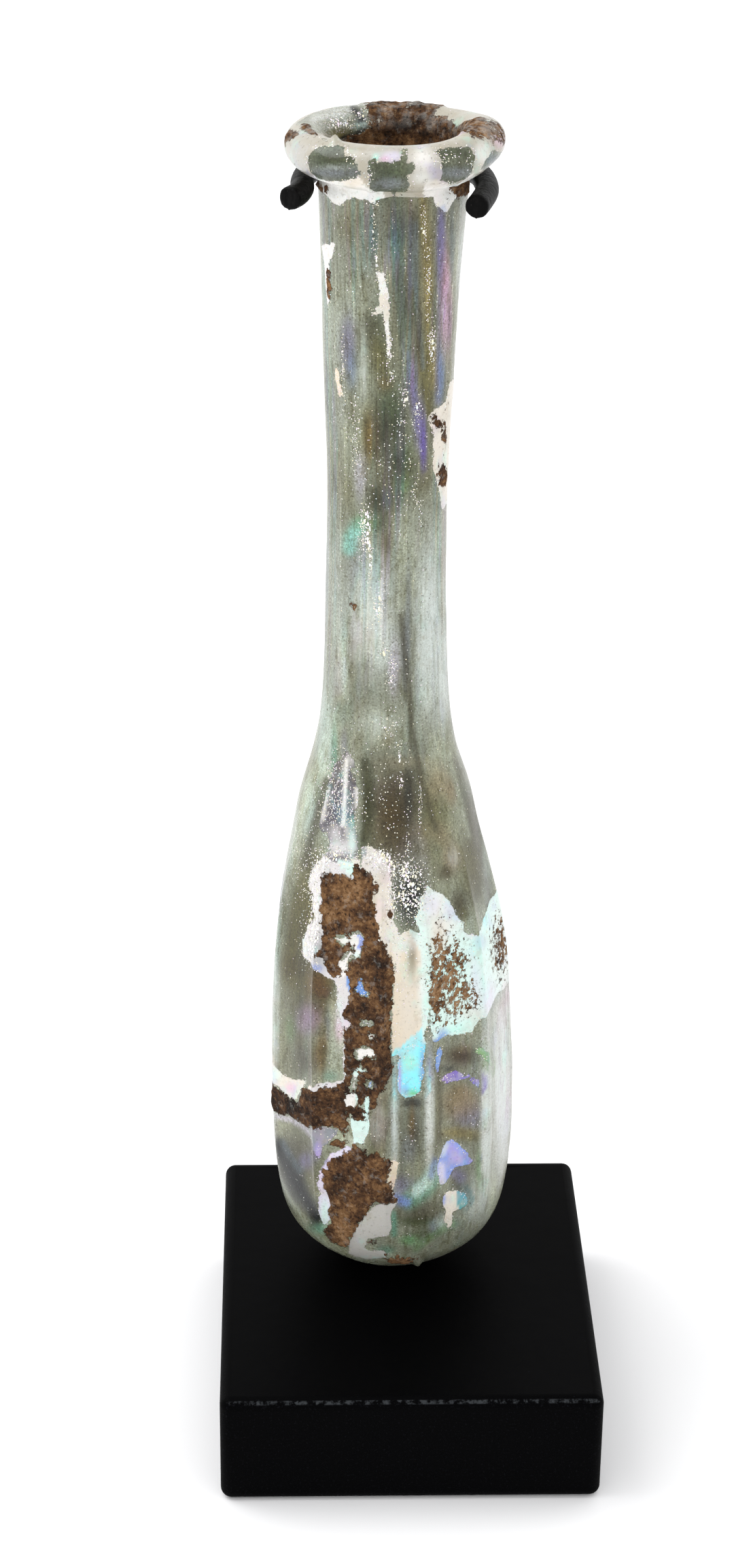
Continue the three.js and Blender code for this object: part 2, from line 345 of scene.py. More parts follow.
def spin_profile():
    """A bmesh of the turned profile, with the row of the profile kept in a layer."""
    bm = bmesh.new()
    layer = bm.verts.layers.int.new("row")
    last = None
    for row, (radius, height) in enumerate(PROFILE):
        vertex = bm.verts.new((0, -radius, height))
        vertex[layer] = row
        if last:
            bm.edges.new((last, vertex))
        last = vertex
    bmesh.ops.spin(
        bm, geom=bm.verts[:] + bm.edges[:], cent=(0, 0, 0), axis=(0, 0, 1), angle=2 * math.pi, steps=COLUMNS,
        use_merge=True,
    )
    bmesh.ops.remove_doubles(bm, verts=bm.verts[:], dist=1e-5)
    bmesh.ops.recalc_face_normals(bm, faces=bm.faces[:])
    return bm, layer


glass_bm, row_layer = spin_profile()
glass_bm.verts.ensure_lookup_table()
rows = np.array([vertex[row_layer] for vertex in glass_bm.verts])
raw = np.array([vertex.co for vertex in glass_bm.verts])
azimuth = np.arctan2(raw[:, 0], -raw[:, 1])
azimuth = azimuth - FRONT_SQUEEZE * np.sin(azimuth)
radius, height = PROFILE[rows].T
along = ALONG[rows]
outer = rows < OUTSIDE_END
inside = rows >= LIP_END
sunk = np.where(rows < LIP_END, 1, INNER_FLUTE_SHARE)
print(len(rows), "vertices, of which", int(outer.sum()), "outside")

# %% [markdown]
# Old blown glass is never quite true. A slow noise moves the wall in and out by about a tenth of a
# millimetre. The noise is read at the point itself, so it has no seam. Long streaks along the neck come
# from the same noise, read at points whose height is pressed together.

# %% Hand-made surface
WOBBLE = 0.16
STREAK = 0.05


def noise_at(points, size, stretch=1, seed=0, octaves=2):
    """Noise between about -1 and 1 at points in millimetres, with lumps of a size in millimetres."""
    scaled = points / size * np.array([1, 1, 1 / stretch]) + seed * 17.3
    return np.array([noise.fractal(Vector(point), 0.9, 2.1, octaves) for point in scaled])


base = place_glass(radius, height, sunk, azimuth)
outward = np.column_stack([np.sin(azimuth), -np.cos(azimuth), np.zeros(len(azimuth))])
wobble = WOBBLE * noise_at(base, 9, stretch=1.5, seed=1)
streaks = STREAK * noise_at(base, 1.4, stretch=30, seed=2) * smooth(height, 70, 100)
moved = base + outward * (np.where(inside, 0, 1) * (wobble + streaks) * smooth(radius, 1, 6))[:, None]


def set_places(bm, places):
    """Moves every vertex to its place, given in millimetres."""
    for vertex, place in zip(bm.verts, places * MM):
        vertex.co = place


set_places(glass_bm, moved)
glass_bm.normal_update()
glass_bm.faces.ensure_lookup_table()
glass_tree = BVHTree.FromBMesh(glass_bm)
normals = np.array([vertex.normal for vertex in glass_bm.verts])
print("The wall is out of true by up to", round(float(np.abs(wobble).max()), 2), "mm")

# %% [markdown]
# Patches are drawn as outlines in pixels of the picture, as a restorer would trace them on a print.
# Each point is then sent from the eye on to the glass, and what is kept is its azimuth and its distance
# along the profile. A point beside the flask goes on round its side, one pixel being about one degree
# there, so that a patch at the edge doesn't end where the camera stops seeing it.

# %% From a picture to the glass
DEGREES_PER_PIXEL = 1.2
AXIS_PIXEL = 582


def glass_place(x, y):
    """Azimuth and distance along the profile of the glass behind a pixel."""
    step = 0
    towards = 1 if x < AXIS_PIXEL else -1
    hit = face = None
    while face is None:
        hit, _, face, _ = glass_tree.ray_cast(EYE, pixel_ray(x + towards * step, y))
        step += 1
    corners = [vertex.index for vertex in glass_bm.faces[face].verts]
    weights = 1 / (np.linalg.norm(moved[corners] * MM - np.array(hit), axis=1) + 1e-6)
    spread = azimuth[corners]
    spread = spread[0] + np.mod(spread - spread[0] + np.pi, 2 * np.pi) - np.pi
    turn = float(np.average(spread, weights=weights))
    turn -= towards * math.radians(DEGREES_PER_PIXEL) * (step - 1)
    return turn, float(np.average(along[corners], weights=weights))


def distance_inside(points, reach=4.0):
    """Millimetres that each vertex lies inside an outline, or outside it where negative."""
    corners = np.array(points)
    around = np.unwrap(corners[:, 0])
    middle = around.mean()
    turn = np.mod(azimuth - middle + np.pi, 2 * np.pi) - np.pi + middle
    wide = np.maximum(radius, 2)
    near = (turn * wide > around.min() * wide - reach) & (turn * wide < around.max() * wide + reach)
    near &= (along > corners[:, 1].min() - reach) & (along < corners[:, 1].max() + reach)
    result = np.full(len(azimuth), -reach)
    if not near.any():
        return result
    x = (around[None, :] - turn[near, None]) * wide[near, None]
    y = corners[None, :, 1] - along[near, None]
    next_x, next_y = np.roll(x, -1, axis=1), np.roll(y, -1, axis=1)
    edge_x, edge_y = next_x - x, next_y - y
    length = np.maximum(edge_x ** 2 + edge_y ** 2, 1e-9)
    share = np.clip(-(x * edge_x + y * edge_y) / length, 0, 1)
    gap = np.hypot(x + share * edge_x, y + share * edge_y).min(axis=1)
    crosses = (y > 0) != (next_y > 0)
    at_zero = x - y * edge_x / np.where(np.abs(edge_y) < 1e-9, 1e-9, edge_y)
    odd = (crosses & (at_zero > 0)).sum(axis=1) % 2 == 1
    result[near] = np.clip(np.where(odd, gap, -gap), -reach, reach)
    return result


def traced(outline):
    """An outline in pixels, as azimuths and distances on the glass."""
    return [glass_place(x, y) for x, y in outline]


print("The belly's front lies", round(glass_place(AXIS_PIXEL, 1500)[1]), "mm along the profile")


# %% [markdown]
# Every colour has a name, as on a painter's palette, and is written as it looks on a screen. Blender
# mixes light in linear values, so one function turns the written value into those.

# %% Palette
PALETTE = {
    "grey green": "999d8a", "pale green": "b9c0ab", "frost": "cfd8d2", "milk": "e8ebe7",
    "olive": "6f6834", "dark olive": "42421f", "moss": "43542a", "amber": "7d5c12", "smoke": "544f38",
    "umber": "4a380f", "tan": "9f8c6a", "slate": "62737f", "dusk": "7f79a6", "mauve": "a98aa8",
    "steel": "80868a", "fern": "7ca06c", "sea": "6ea58e", "ink": "1f2325", "bottle": "465031",
    "gold": "978a56", "rust": "6b4c06", "pearl": "d3cfcf", "white": "e9e6e1", "cream": "dfd0b8",
    "ivory": "dcd4c6", "lilac white": "d8d2e4", "aqua white": "d2ece4", "silver": "4c4850",
    "stone": "bcbab4", "parchment": "aaa494", "lilac": "ab98dc", "violet": "7460b8",
    "cornflower": "7f96de", "cyan": "86eefa", "turquoise": "9cf6e0", "leaf": "54bc66", "pink": "dcaecb",
    "teal": "4698a8", "blue": "6690d0",
}


def linear(name):
    """A colour of the palette in linear values."""
    written = PALETTE[name]
    shares = np.array([int(written[place:place + 2], 16) for place in (0, 2, 4)]) / 255
    return np.where(shares > 0.04045, ((shares + 0.055) / 1.055) ** 2.4, shares / 12.92)


print(len(PALETTE), "colours")


# %% [markdown]
# First come the crusts of brown soil, which are thick and grainy. The largest runs down the front of
# the body and turns left some way above the base. The throat is coated with soil too, from an edge on
# the lip downwards.

# %% Crusts
CRUSTS = {
    "long crust": [
        (471, 1286), (495, 1284), (519, 1290), (525, 1271), (541, 1282), (557, 1300), (551, 1325),
        (559, 1368), (567, 1395), (580, 1422), (578, 1454), (574, 1490), (574, 1545), (576, 1577),
        (567, 1597), (555, 1615), (545, 1637), (528, 1652), (514, 1640), (512, 1662), (509, 1677),
        (498, 1659), (470, 1655), (451, 1657), (433, 1643), (405, 1632), (396, 1594), (405, 1595),
        (427, 1615), (438, 1622), (445, 1602), (462, 1599), (481, 1598), (506, 1594), (509, 1558),
        (506, 1517), (516, 1504), (506, 1492), (512, 1473), (515, 1444), (506, 1429), (492, 1435),
        (478, 1419), (467, 1405), (476, 1381), (470, 1363), (474, 1328), (474, 1306),
    ],
    "lower crust": [
        (534, 1681), (539, 1695), (558, 1698), (577, 1706), (571, 1728), (572, 1747), (582, 1766),
        (555, 1769), (542, 1780), (524, 1807), (509, 1836), (490, 1827), (473, 1807), (487, 1799),
        (486, 1761), (475, 1744), (476, 1720), (490, 1703), (509, 1695), (520, 1684),
    ],
    "small crust": [(481, 1681), (492, 1672), (509, 1681), (505, 1688), (490, 1687)],
    "left edge crust": [(396, 1590), (412, 1612), (430, 1626), (432, 1642), (412, 1640), (398, 1625)],
    "crust at the foot": [(566, 1844), (583, 1846), (610, 1850), (600, 1857), (572, 1856)],
    "lip, left": [(420, 201), (428, 190), (438, 198), (430, 206), (421, 211)],
    "lip, back left": [(446, 182), (457, 184), (467, 195), (465, 200), (452, 195)],
    "under the lip, left": [(465, 270), (487, 277), (486, 283), (471, 279)],
    "under the lip, right": [(666, 273), (690, 270), (688, 284), (672, 291), (665, 284)],
    "neck, right": [(634, 612), (641, 611), (655, 624), (655, 662), (651, 650), (647, 636), (637, 631)],
    "neck, lower right": [(644, 683), (653, 680), (657, 698), (653, 716), (646, 712), (643, 697)],
    "neck, left": [(482, 396), (485, 404), (487, 430), (485, 446), (482, 430)],
}
THROAT_EDGE = [
    (499, 206), (512, 202), (530, 194), (541, 187), (552, 176), (600, 168), (643, 172), (656, 172),
    (667, 179), (674, 191), (677, 185), (686, 180), (696, 176), (712, 173), (707, 186), (699, 199),
]
BACK_LIP_SIDES = [(539, 165), (642, 165)]
print(len(CRUSTS), "crusts outside the throat")

# %% [markdown]
# Next come the films, thin layers of weathered glass that have come loose and look like enamel: white
# and cream where they are thick, and lilac, blue or turquoise where they are thin. Each has a colour of
# the palette.

# %% Films
FILMS = {
    "left rim of the long crust": ("pearl", [
        (487, 1247), (505, 1246), (530, 1262), (535, 1300), (490, 1310), (490, 1400), (522, 1430),
        (522, 1505), (512, 1600), (455, 1606), (451, 1595), (473, 1594), (506, 1590), (505, 1536),
        (505, 1517), (497, 1480), (495, 1442), (482, 1438), (460, 1419), (446, 1405), (445, 1381),
        (454, 1363), (464, 1352), (460, 1338), (462, 1317), (455, 1306), (456, 1288), (466, 1269),
    ]),
    "aqua top of the long crust": ("aqua white", [
        (507, 1247), (521, 1251), (529, 1266), (518, 1276), (508, 1264),
    ]),
    "right rim of the long crust": ("ivory", [
        (533, 1247), (545, 1245), (562, 1253), (570, 1265), (578, 1282), (576, 1301), (579, 1349),
        (588, 1375), (586, 1400), (577, 1440), (560, 1410), (545, 1340), (545, 1290), (530, 1270),
    ]),
    "cream channel": ("cream", [
        (586, 1378), (600, 1366), (616, 1371), (632, 1395), (632, 1440), (631, 1503), (625, 1527),
        (604, 1542), (594, 1552), (576, 1556), (576, 1440), (579, 1430),
    ]),
    "cyan flake": ("cyan", [
        (586, 1553), (594, 1551), (604, 1541), (626, 1524), (624, 1561), (621, 1604), (608, 1613),
        (597, 1615), (586, 1605),
    ]),
    "white field on the right": ("aqua white", [
        (618, 1322), (629, 1301), (648, 1314), (661, 1325), (675, 1349), (683, 1357), (681, 1368),
        (701, 1379), (710, 1353), (728, 1312), (741, 1306), (762, 1320), (764, 1440), (744, 1450),
        (728, 1468), (723, 1481), (706, 1498), (695, 1520), (671, 1520), (657, 1522), (643, 1533),
        (635, 1530), (633, 1500), (632, 1395), (618, 1372), (610, 1355),
    ]),
    "sliver beside the cyan": ("blue", [(641, 1538), (652, 1540), (648, 1560), (643, 1582), (640, 1560)]),
    "violet arc": ("violet", [
        (647, 1585), (654, 1594), (671, 1588), (687, 1588), (705, 1601), (706, 1588), (690, 1579),
        (671, 1577), (654, 1581),
    ]),
    "green corner": ("fern", [
        (697, 1543), (712, 1541), (720, 1551), (726, 1572), (718, 1566), (708, 1553),
    ]),
    "lilac peak": ("cornflower", [
        (648, 1690), (655, 1679), (663, 1676), (672, 1681), (683, 1692), (698, 1708), (680, 1713),
        (666, 1718), (655, 1742), (647, 1744), (644, 1722),
    ]),
    "teal eye": ("teal", [
        (656, 1753), (671, 1750), (684, 1755), (690, 1768), (680, 1778), (664, 1781), (652, 1776),
        (652, 1763),
    ]),
    "white stroke": ("ivory", [
        (654, 1755), (662, 1756), (663, 1777), (667, 1794), (661, 1812), (657, 1799), (652, 1794),
        (658, 1780),
    ]),
    "cream triangle": ("ivory", [
        (380, 1545), (396, 1558), (413, 1577), (429, 1588), (453, 1588), (446, 1600), (438, 1617),
        (427, 1615), (405, 1595), (380, 1597),
    ]),
    "film in the crook": ("aqua white", [
        (514, 1640), (542, 1637), (542, 1659), (534, 1682), (521, 1681),
    ]),
    "left film of the lower crust": ("lilac white", [
        (468, 1744), (468, 1731), (476, 1712), (486, 1696), (512, 1684), (520, 1690), (500, 1705),
        (482, 1725), (480, 1748), (488, 1770), (487, 1794), (479, 1805), (471, 1788),
    ]),
    "right film of the lower crust": ("cream", [
        (572, 1704), (588, 1710), (584, 1731), (577, 1750), (586, 1772), (577, 1777), (570, 1760),
        (568, 1725),
    ]),
    "grey patch": ("stone", [
        (548, 1772), (562, 1769), (580, 1769), (576, 1783), (577, 1802), (570, 1818), (545, 1822),
        (536, 1836), (566, 1840), (569, 1848), (540, 1852), (512, 1844), (518, 1815), (531, 1794),
    ]),
    "grey film, lower left": ("steel", [
        (452, 1655), (475, 1656), (500, 1660), (490, 1675), (477, 1688), (470, 1705), (462, 1695),
        (458, 1675),
    ]),
    "under the lip, left": ("white", [
        (463, 266), (490, 266), (520, 268), (537, 278), (553, 290), (558, 302), (542, 297), (522, 290),
        (512, 294), (500, 303), (488, 298), (477, 283),
    ]),
    "under the lip, right": ("white", [
        (637, 274), (660, 276), (685, 266), (695, 272), (680, 287), (667, 296), (656, 313), (648, 303),
        (638, 297),
    ]),
    "neck, white streak": ("white", [
        (556, 402), (565, 401), (571, 440), (574, 480), (577, 530), (571, 520), (560, 450),
    ]),
    "neck, streak's wing": ("ivory", [(543, 457), (562, 446), (564, 462), (552, 464)]),
    "neck, upper left": ("white", [
        (473, 360), (493, 358), (489, 376), (483, 386), (485, 410), (487, 444), (482, 449), (479, 410),
        (477, 384),
    ]),
    "neck, lower left": ("cream", [(493, 540), (499, 545), (505, 585), (500, 585), (494, 560)]),
    "neck, right": ("ivory", [
        (660, 560), (657, 590), (640, 604), (630, 614), (638, 650), (637, 690), (646, 720), (650, 750),
        (662, 740), (668, 640), (672, 560),
    ]),
    "silver scar": ("silver", [
        (505, 1110), (510, 1103), (518, 1112), (526, 1128), (515, 1130), (512, 1134), (524, 1144),
        (529, 1167), (527, 1189), (519, 1195), (523, 1213), (524, 1238), (528, 1252), (485, 1254),
        (484, 1236), (480, 1226), (472, 1220), (471, 1207), (479, 1171), (487, 1141), (492, 1128),
    ]),
}
CUTS_IN_FILM = {
    "lip, left window": [
        (455, 230), (461, 221), (478, 215), (509, 216), (506, 226), (517, 230), (526, 241), (527, 251),
        (538, 253), (520, 263), (490, 267), (468, 262), (456, 252),
    ],
    "lip, middle window": [
        (544, 234), (551, 233), (553, 241), (575, 240), (590, 236), (592, 219), (600, 219), (600, 238),
        (611, 240), (611, 251), (599, 260), (599, 281), (580, 285), (555, 281), (545, 270),
    ],
    "lip, right window": [
        (640, 222), (662, 215), (688, 216), (698, 228), (698, 242), (692, 256), (682, 263), (662, 270),
        (648, 264), (648, 232),
    ],
    "lip, far right": [
        (712, 236), (722, 222), (738, 224), (741, 238), (728, 252), (712, 262), (704, 262), (708, 248),
    ],
}
BACK_WINDOW = [
    (437, 184), (450, 168), (470, 160), (502, 155), (538, 155), (541, 187), (530, 194), (512, 202),
    (499, 206), (484, 210), (470, 197), (455, 184),
]
FLAKES_IN_CRUST = [
    ("cornflower", [
        (530, 1371), (537, 1379), (533, 1389), (529, 1411), (519, 1405), (522, 1392), (514, 1385),
        (514, 1376),
    ]),
    ("white", [(492, 1379), (514, 1376), (518, 1384), (512, 1390), (498, 1386)]),
    ("white", [(498, 1421), (514, 1397), (519, 1400), (511, 1421), (503, 1424)]),
    ("blue", [(521, 1440), (533, 1438), (534, 1448), (543, 1462), (541, 1467), (526, 1459), (521, 1448)]),
    ("steel", [(531, 1500), (549, 1504), (549, 1511), (535, 1508)]),
    ("white", [(542, 1520), (553, 1523), (551, 1529), (542, 1526)]),
    ("white", [(523, 1541), (548, 1541), (555, 1555), (536, 1553), (534, 1560), (526, 1557)]),
    ("aqua white", [(520, 1566), (539, 1572), (536, 1580), (529, 1579), (524, 1592), (519, 1590)]),
    ("white", [(519, 1592), (524, 1592), (523, 1602), (518, 1601)]),
    ("blue", [(541, 1588), (550, 1590), (547, 1600), (540, 1599)]),
    ("white", [(508, 1612), (520, 1604), (528, 1612), (524, 1626), (512, 1630), (506, 1622)]),
    ("aqua white", [(536, 1610), (544, 1612), (543, 1640), (535, 1638)]),
]
print(len(FILMS), "films")

# %% [markdown]
# Every outline becomes a distance on the glass. Overlapping outlines of one kind are joined by taking
# the largest distance, and a cut is taken away by taking the smallest. The films' colours are laid on a
# little beyond their outlines, because the shader trims them to a ragged edge.

# %% Distances of crusts and films
OVERLAP = 1.2
NOWHERE = -4.0
WELL_INSIDE = 3.0
SOIL_DEPTH = 19
BACK_LIP_CRUST = 0.45
LIP_EDGE = 0.4
PARCHMENT_DEPTH = 8
ON_LIP = (rows >= OUTSIDE_END) & (rows < LIP_END)


def union_of(outlines):
    """Distance inside any of the outlines."""
    result = np.full(len(azimuth), NOWHERE)
    for outline in outlines:
        result = np.maximum(result, distance_inside(traced(outline)))
    return result


def traced_down(edge, depth):
    """An outline from an edge in pixels down to a distance along the profile."""
    corners = traced(edge)
    return corners + [(turn, depth) for turn, _ in reversed(corners)]


def sector_distance(first, last):
    """Distance inside the sector that goes round the back between two pixels."""
    start, end = glass_place(*last)[0], glass_place(*first)[0]
    span = np.mod(end - start, 2 * np.pi)
    turn = np.mod(azimuth - start, 2 * np.pi)
    return np.maximum(np.minimum(turn, span - turn) * radius, NOWHERE)


def lay_film(film, film_colour, swatch, outline):
    """Adds one film of a colour."""
    inside_film = distance_inside(traced(outline))
    film_colour[inside_film > -OVERLAP] = linear(swatch)
    return np.maximum(film, inside_film), inside_film


BORE_CLEAR = float(ALONG[LIP_END] + SOIL_DEPTH)
window = distance_inside(traced(BACK_WINDOW))
crust = union_of(CRUSTS.values())
crust = np.maximum(crust, distance_inside(traced_down(THROAT_EDGE, BORE_CLEAR)))
back_lip = np.minimum(sector_distance(*BACK_LIP_SIDES), BACK_LIP_CRUST)
crust = np.where(ON_LIP, np.maximum(crust, back_lip), crust)
crust = np.where(inside, mix(2.5, NOWHERE, smooth(along, BORE_CLEAR - 6, BORE_CLEAR + 2)), crust)
crust = np.minimum(crust, -window)
film = np.where(ON_LIP | (outer & (height > NECK_TOP - LIP_EDGE)), WELL_INSIDE, NOWHERE)
near_lip = height > NECK_TOP - PARCHMENT_DEPTH
film_colour = np.where(near_lip[:, None], linear("parchment"), linear("frost"))
for swatch, outline in FILMS.values():
    film, _ = lay_film(film, film_colour, swatch, outline)
film = np.minimum(film, -union_of([*CUTS_IN_FILM.values(), BACK_WINDOW]))
film = np.where(inside, NOWHERE, film)
for swatch, outline in FLAKES_IN_CRUST:
    film, flake = lay_film(film, film_colour, swatch, outline)
    crust = np.minimum(crust, -flake)
print("Crust on", int((crust > 0).sum()), "vertices, film on", int((film > 0).sum()))

# %% [markdown]
# Between the patches the glass itself changes from olive to frost, because its inside is dirty too and
# its layers catch the light. These are soft washes, laid on one over the other as with a wet brush.
# Each has a colour, a middle and a size in pixels of the picture, and a strength. The neck comes first.
# It is olive and slate in its upper half, with violet and gold lines on the right, and frosted further
# down. The frost along its outlines, most of all the right one, is painted light.

# %% Washes on the neck
NECK_WASHES = [
    ("grey green", 500, 380, 34, 110, 0.7), ("smoke", 590, 330, 34, 40, 0.75),
    ("slate", 545, 340, 14, 50, 0.6), ("teal", 578, 365, 14, 34, 0.35), ("smoke", 592, 440, 20, 70, 0.62),
    ("slate", 604, 390, 5, 90, 0.8), ("olive", 512, 330, 20, 26, 0.5), ("tan", 600, 300, 12, 26, 0.4),
    ("olive", 620, 350, 7, 60, 0.6), ("gold", 630, 420, 8, 120, 0.85), ("olive", 632, 540, 8, 70, 0.8),
    ("dusk", 649, 360, 7, 70, 0.95), ("pink", 656, 440, 8, 70, 0.95), ("mauve", 661, 470, 4, 40, 0.8),
    # The frost at 682 runs along the neck's right outline and is painted light.
    ("slate", 665, 360, 4, 60, 0.6), ("blue", 647, 555, 7, 38, 0.7), ("frost", 682, 400, 10, 130, 0.9),
    ("gold", 684, 335, 7, 30, 0.5), ("pale green", 507, 450, 20, 40, 0.5),
    ("frost", 492, 500, 12, 60, 0.35), ("dusk", 512, 505, 12, 46, 0.6), ("blue", 520, 545, 9, 30, 0.4),
    ("dark olive", 550, 485, 17, 40, 0.68), ("olive", 556, 525, 16, 36, 0.8),
    ("amber", 568, 566, 11, 12, 0.6), ("pale green", 534, 560, 15, 60, 0.6),
    ("frost", 500, 600, 14, 60, 0.3), ("moss", 575, 610, 24, 46, 0.8),
    ("dark olive", 560, 650, 22, 50, 0.5), ("olive", 542, 640, 15, 50, 0.7),
    ("amber", 545, 645, 10, 34, 0.5), ("dusk", 607, 560, 7, 46, 0.9), ("dusk", 616, 620, 8, 40, 0.85),
    ("violet", 623, 655, 5, 44, 0.9), ("olive", 617, 500, 4, 90, 0.8), ("slate", 612, 500, 3, 90, 0.6),
    ("pale green", 518, 660, 14, 60, 0.45), ("moss", 590, 690, 26, 44, 0.75),
    ("lilac white", 530, 700, 9, 34, 0.5), ("dark olive", 556, 735, 18, 26, 0.9),
    ("slate", 570, 735, 8, 16, 0.7), ("fern", 592, 712, 12, 14, 0.6), ("olive", 626, 710, 9, 34, 0.7),
    ("olive", 512, 725, 10, 30, 0.4), ("pale green", 600, 810, 26, 50, 0.8),
    ("olive", 567, 800, 9, 16, 0.8), ("moss", 560, 770, 12, 16, 0.7),
    ("grey green", 630, 760, 20, 50, 0.7), ("frost", 495, 900, 14, 160, 0.45),
    ("frost", 545, 900, 34, 80, 0.95), ("frost", 632, 930, 20, 130, 0.98),
    ("frost", 560, 950, 22, 30, 0.9), ("steel", 601, 880, 4, 60, 0.6), ("steel", 597, 960, 7, 60, 0.9),
    ("dark olive", 604, 1060, 4, 60, 0.7), ("grey green", 532, 1005, 24, 36, 0.9),
    ("olive", 520, 990, 5, 40, 0.4), ("aqua white", 507, 975, 5, 50, 0.6),
    ("lilac white", 580, 980, 9, 40, 0.6), ("pale green", 555, 1065, 26, 24, 0.9),
    ("tan", 572, 1080, 10, 16, 0.4), ("grey green", 630, 1080, 20, 40, 0.8),
    ("frost", 652, 1010, 8, 60, 0.7), ("aqua white", 478, 1080, 14, 90, 0.5),
    ("olive", 586, 700, 16, 20, 0.4),
]
print(len(NECK_WASHES), "washes on the neck")

# %% [markdown]
# At the shoulder brown soil on the inside shows through the wall, so the washes are umber and smoke
# there, with a dark ground under the densest sparkles. The smoke along the right outline is painted
# shade, and the narrow frost just outside it is painted light.

# %% Washes on the shoulder
SHOULDER_WASHES = [
    ("dusk", 506, 1095, 5, 24, 0.3), ("smoke", 560, 1118, 30, 16, 0.45),
    ("umber", 580, 1195, 48, 80, 0.98), ("smoke", 620, 1165, 34, 46, 0.7),
    ("umber", 570, 1240, 40, 26, 0.55), ("dark olive", 545, 1180, 8, 60, 0.8),
    ("ink", 601, 1170, 7, 50, 0.6), ("olive", 640, 1225, 20, 60, 0.6), ("tan", 664, 1165, 9, 22, 0.7),
    ("tan", 667, 1262, 15, 20, 0.95), ("umber", 656, 1285, 14, 12, 0.7),
    # Painted shade: the smoke along the right outline, here and on the next line. Painted light: the frost
    # at 718 just outside it.
    ("smoke", 697, 1225, 18, 80, 0.75), ("smoke", 700, 1300, 14, 40, 0.7),
    ("smoke", 676, 1330, 14, 26, 0.95), ("olive", 684, 1345, 8, 12, 0.6),
    ("frost", 718, 1240, 7, 80, 0.6), ("ink", 604, 1318, 27, 54, 0.99), ("tan", 648, 1150, 22, 26, 0.55),
    ("olive", 645, 1200, 26, 30, 0.4), ("tan", 655, 1236, 14, 12, 0.4),
    ("olive", 690, 1275, 18, 40, 0.45), ("grey green", 585, 1116, 50, 12, 0.5),
    ("tan", 600, 1120, 40, 10, 0.3), ("tan", 640, 1222, 26, 16, 0.35),
]
print(len(SHOULDER_WASHES), "on the shoulder")

# %% [markdown]
# The left side of the body is olive and rust brown above the soil, with a little mauve. Below the soil
# it is grey and dark, painted where the black block is seen through the glass, and the pale washes along
# the left outline are painted light.

# %% Washes on the left of the body
LEFT_WASHES = [
    # The frost and aqua white near the left outline, here and below, are painted light.
    ("sea", 492, 1105, 5, 40, 0.7), ("frost", 425, 1240, 16, 110, 0.6),
    ("grey green", 462, 1190, 9, 70, 0.5), ("olive", 462, 1270, 12, 40, 0.6),
    ("pale green", 446, 1190, 10, 80, 0.7), ("olive", 450, 1345, 26, 80, 0.9),
    ("dark olive", 440, 1390, 18, 60, 0.8), ("dark olive", 460, 1300, 10, 40, 0.6),
    ("olive", 440, 1425, 28, 34, 0.9), ("amber", 474, 1450, 14, 28, 0.98),
    ("smoke", 456, 1490, 24, 30, 0.4), ("mauve", 456, 1495, 18, 24, 0.6),
    ("smoke", 440, 1480, 12, 20, 0.4), ("fern", 428, 1512, 8, 22, 0.6), ("slate", 482, 1500, 5, 24, 0.6),
    ("amber", 475, 1550, 7, 34, 0.8), ("smoke", 447, 1560, 20, 28, 0.6), ("olive", 440, 1530, 8, 14, 0.5),
    ("sea", 486, 1583, 12, 8, 0.5), ("frost", 400, 1450, 7, 90, 0.8),
    # The smoke and ink low on the left are painted dark where the black block is seen through the glass.
    ("aqua white", 405, 1380, 8, 60, 0.5), ("smoke", 440, 1700, 34, 50, 0.85),
    ("ink", 428, 1745, 22, 50, 0.75), ("dusk", 450, 1708, 10, 12, 0.7), ("stone", 404, 1690, 7, 60, 0.7),
    ("olive", 456, 1745, 12, 24, 0.6), ("sea", 470, 1806, 16, 10, 0.8), ("lilac", 466, 1690, 6, 14, 0.6),
    ("dark olive", 442, 1392, 20, 50, 0.7), ("olive", 448, 1400, 32, 110, 0.55),
    ("dark olive", 464, 1312, 14, 24, 0.7), ("smoke", 442, 1440, 34, 110, 0.32),
    ("umber", 436, 1422, 26, 16, 0.35), ("umber", 452, 1556, 18, 30, 0.3),
    ("rust", 472, 1452, 22, 26, 0.98), ("mauve", 452, 1500, 16, 20, 0.6),
    ("rust", 474, 1545, 7, 34, 0.35), ("aqua white", 456, 1200, 9, 46, 0.45),
    ("olive", 446, 1340, 20, 60, 0.3), ("amber", 470, 1548, 9, 30, 0.5),
]
print(len(LEFT_WASHES), "on the left")
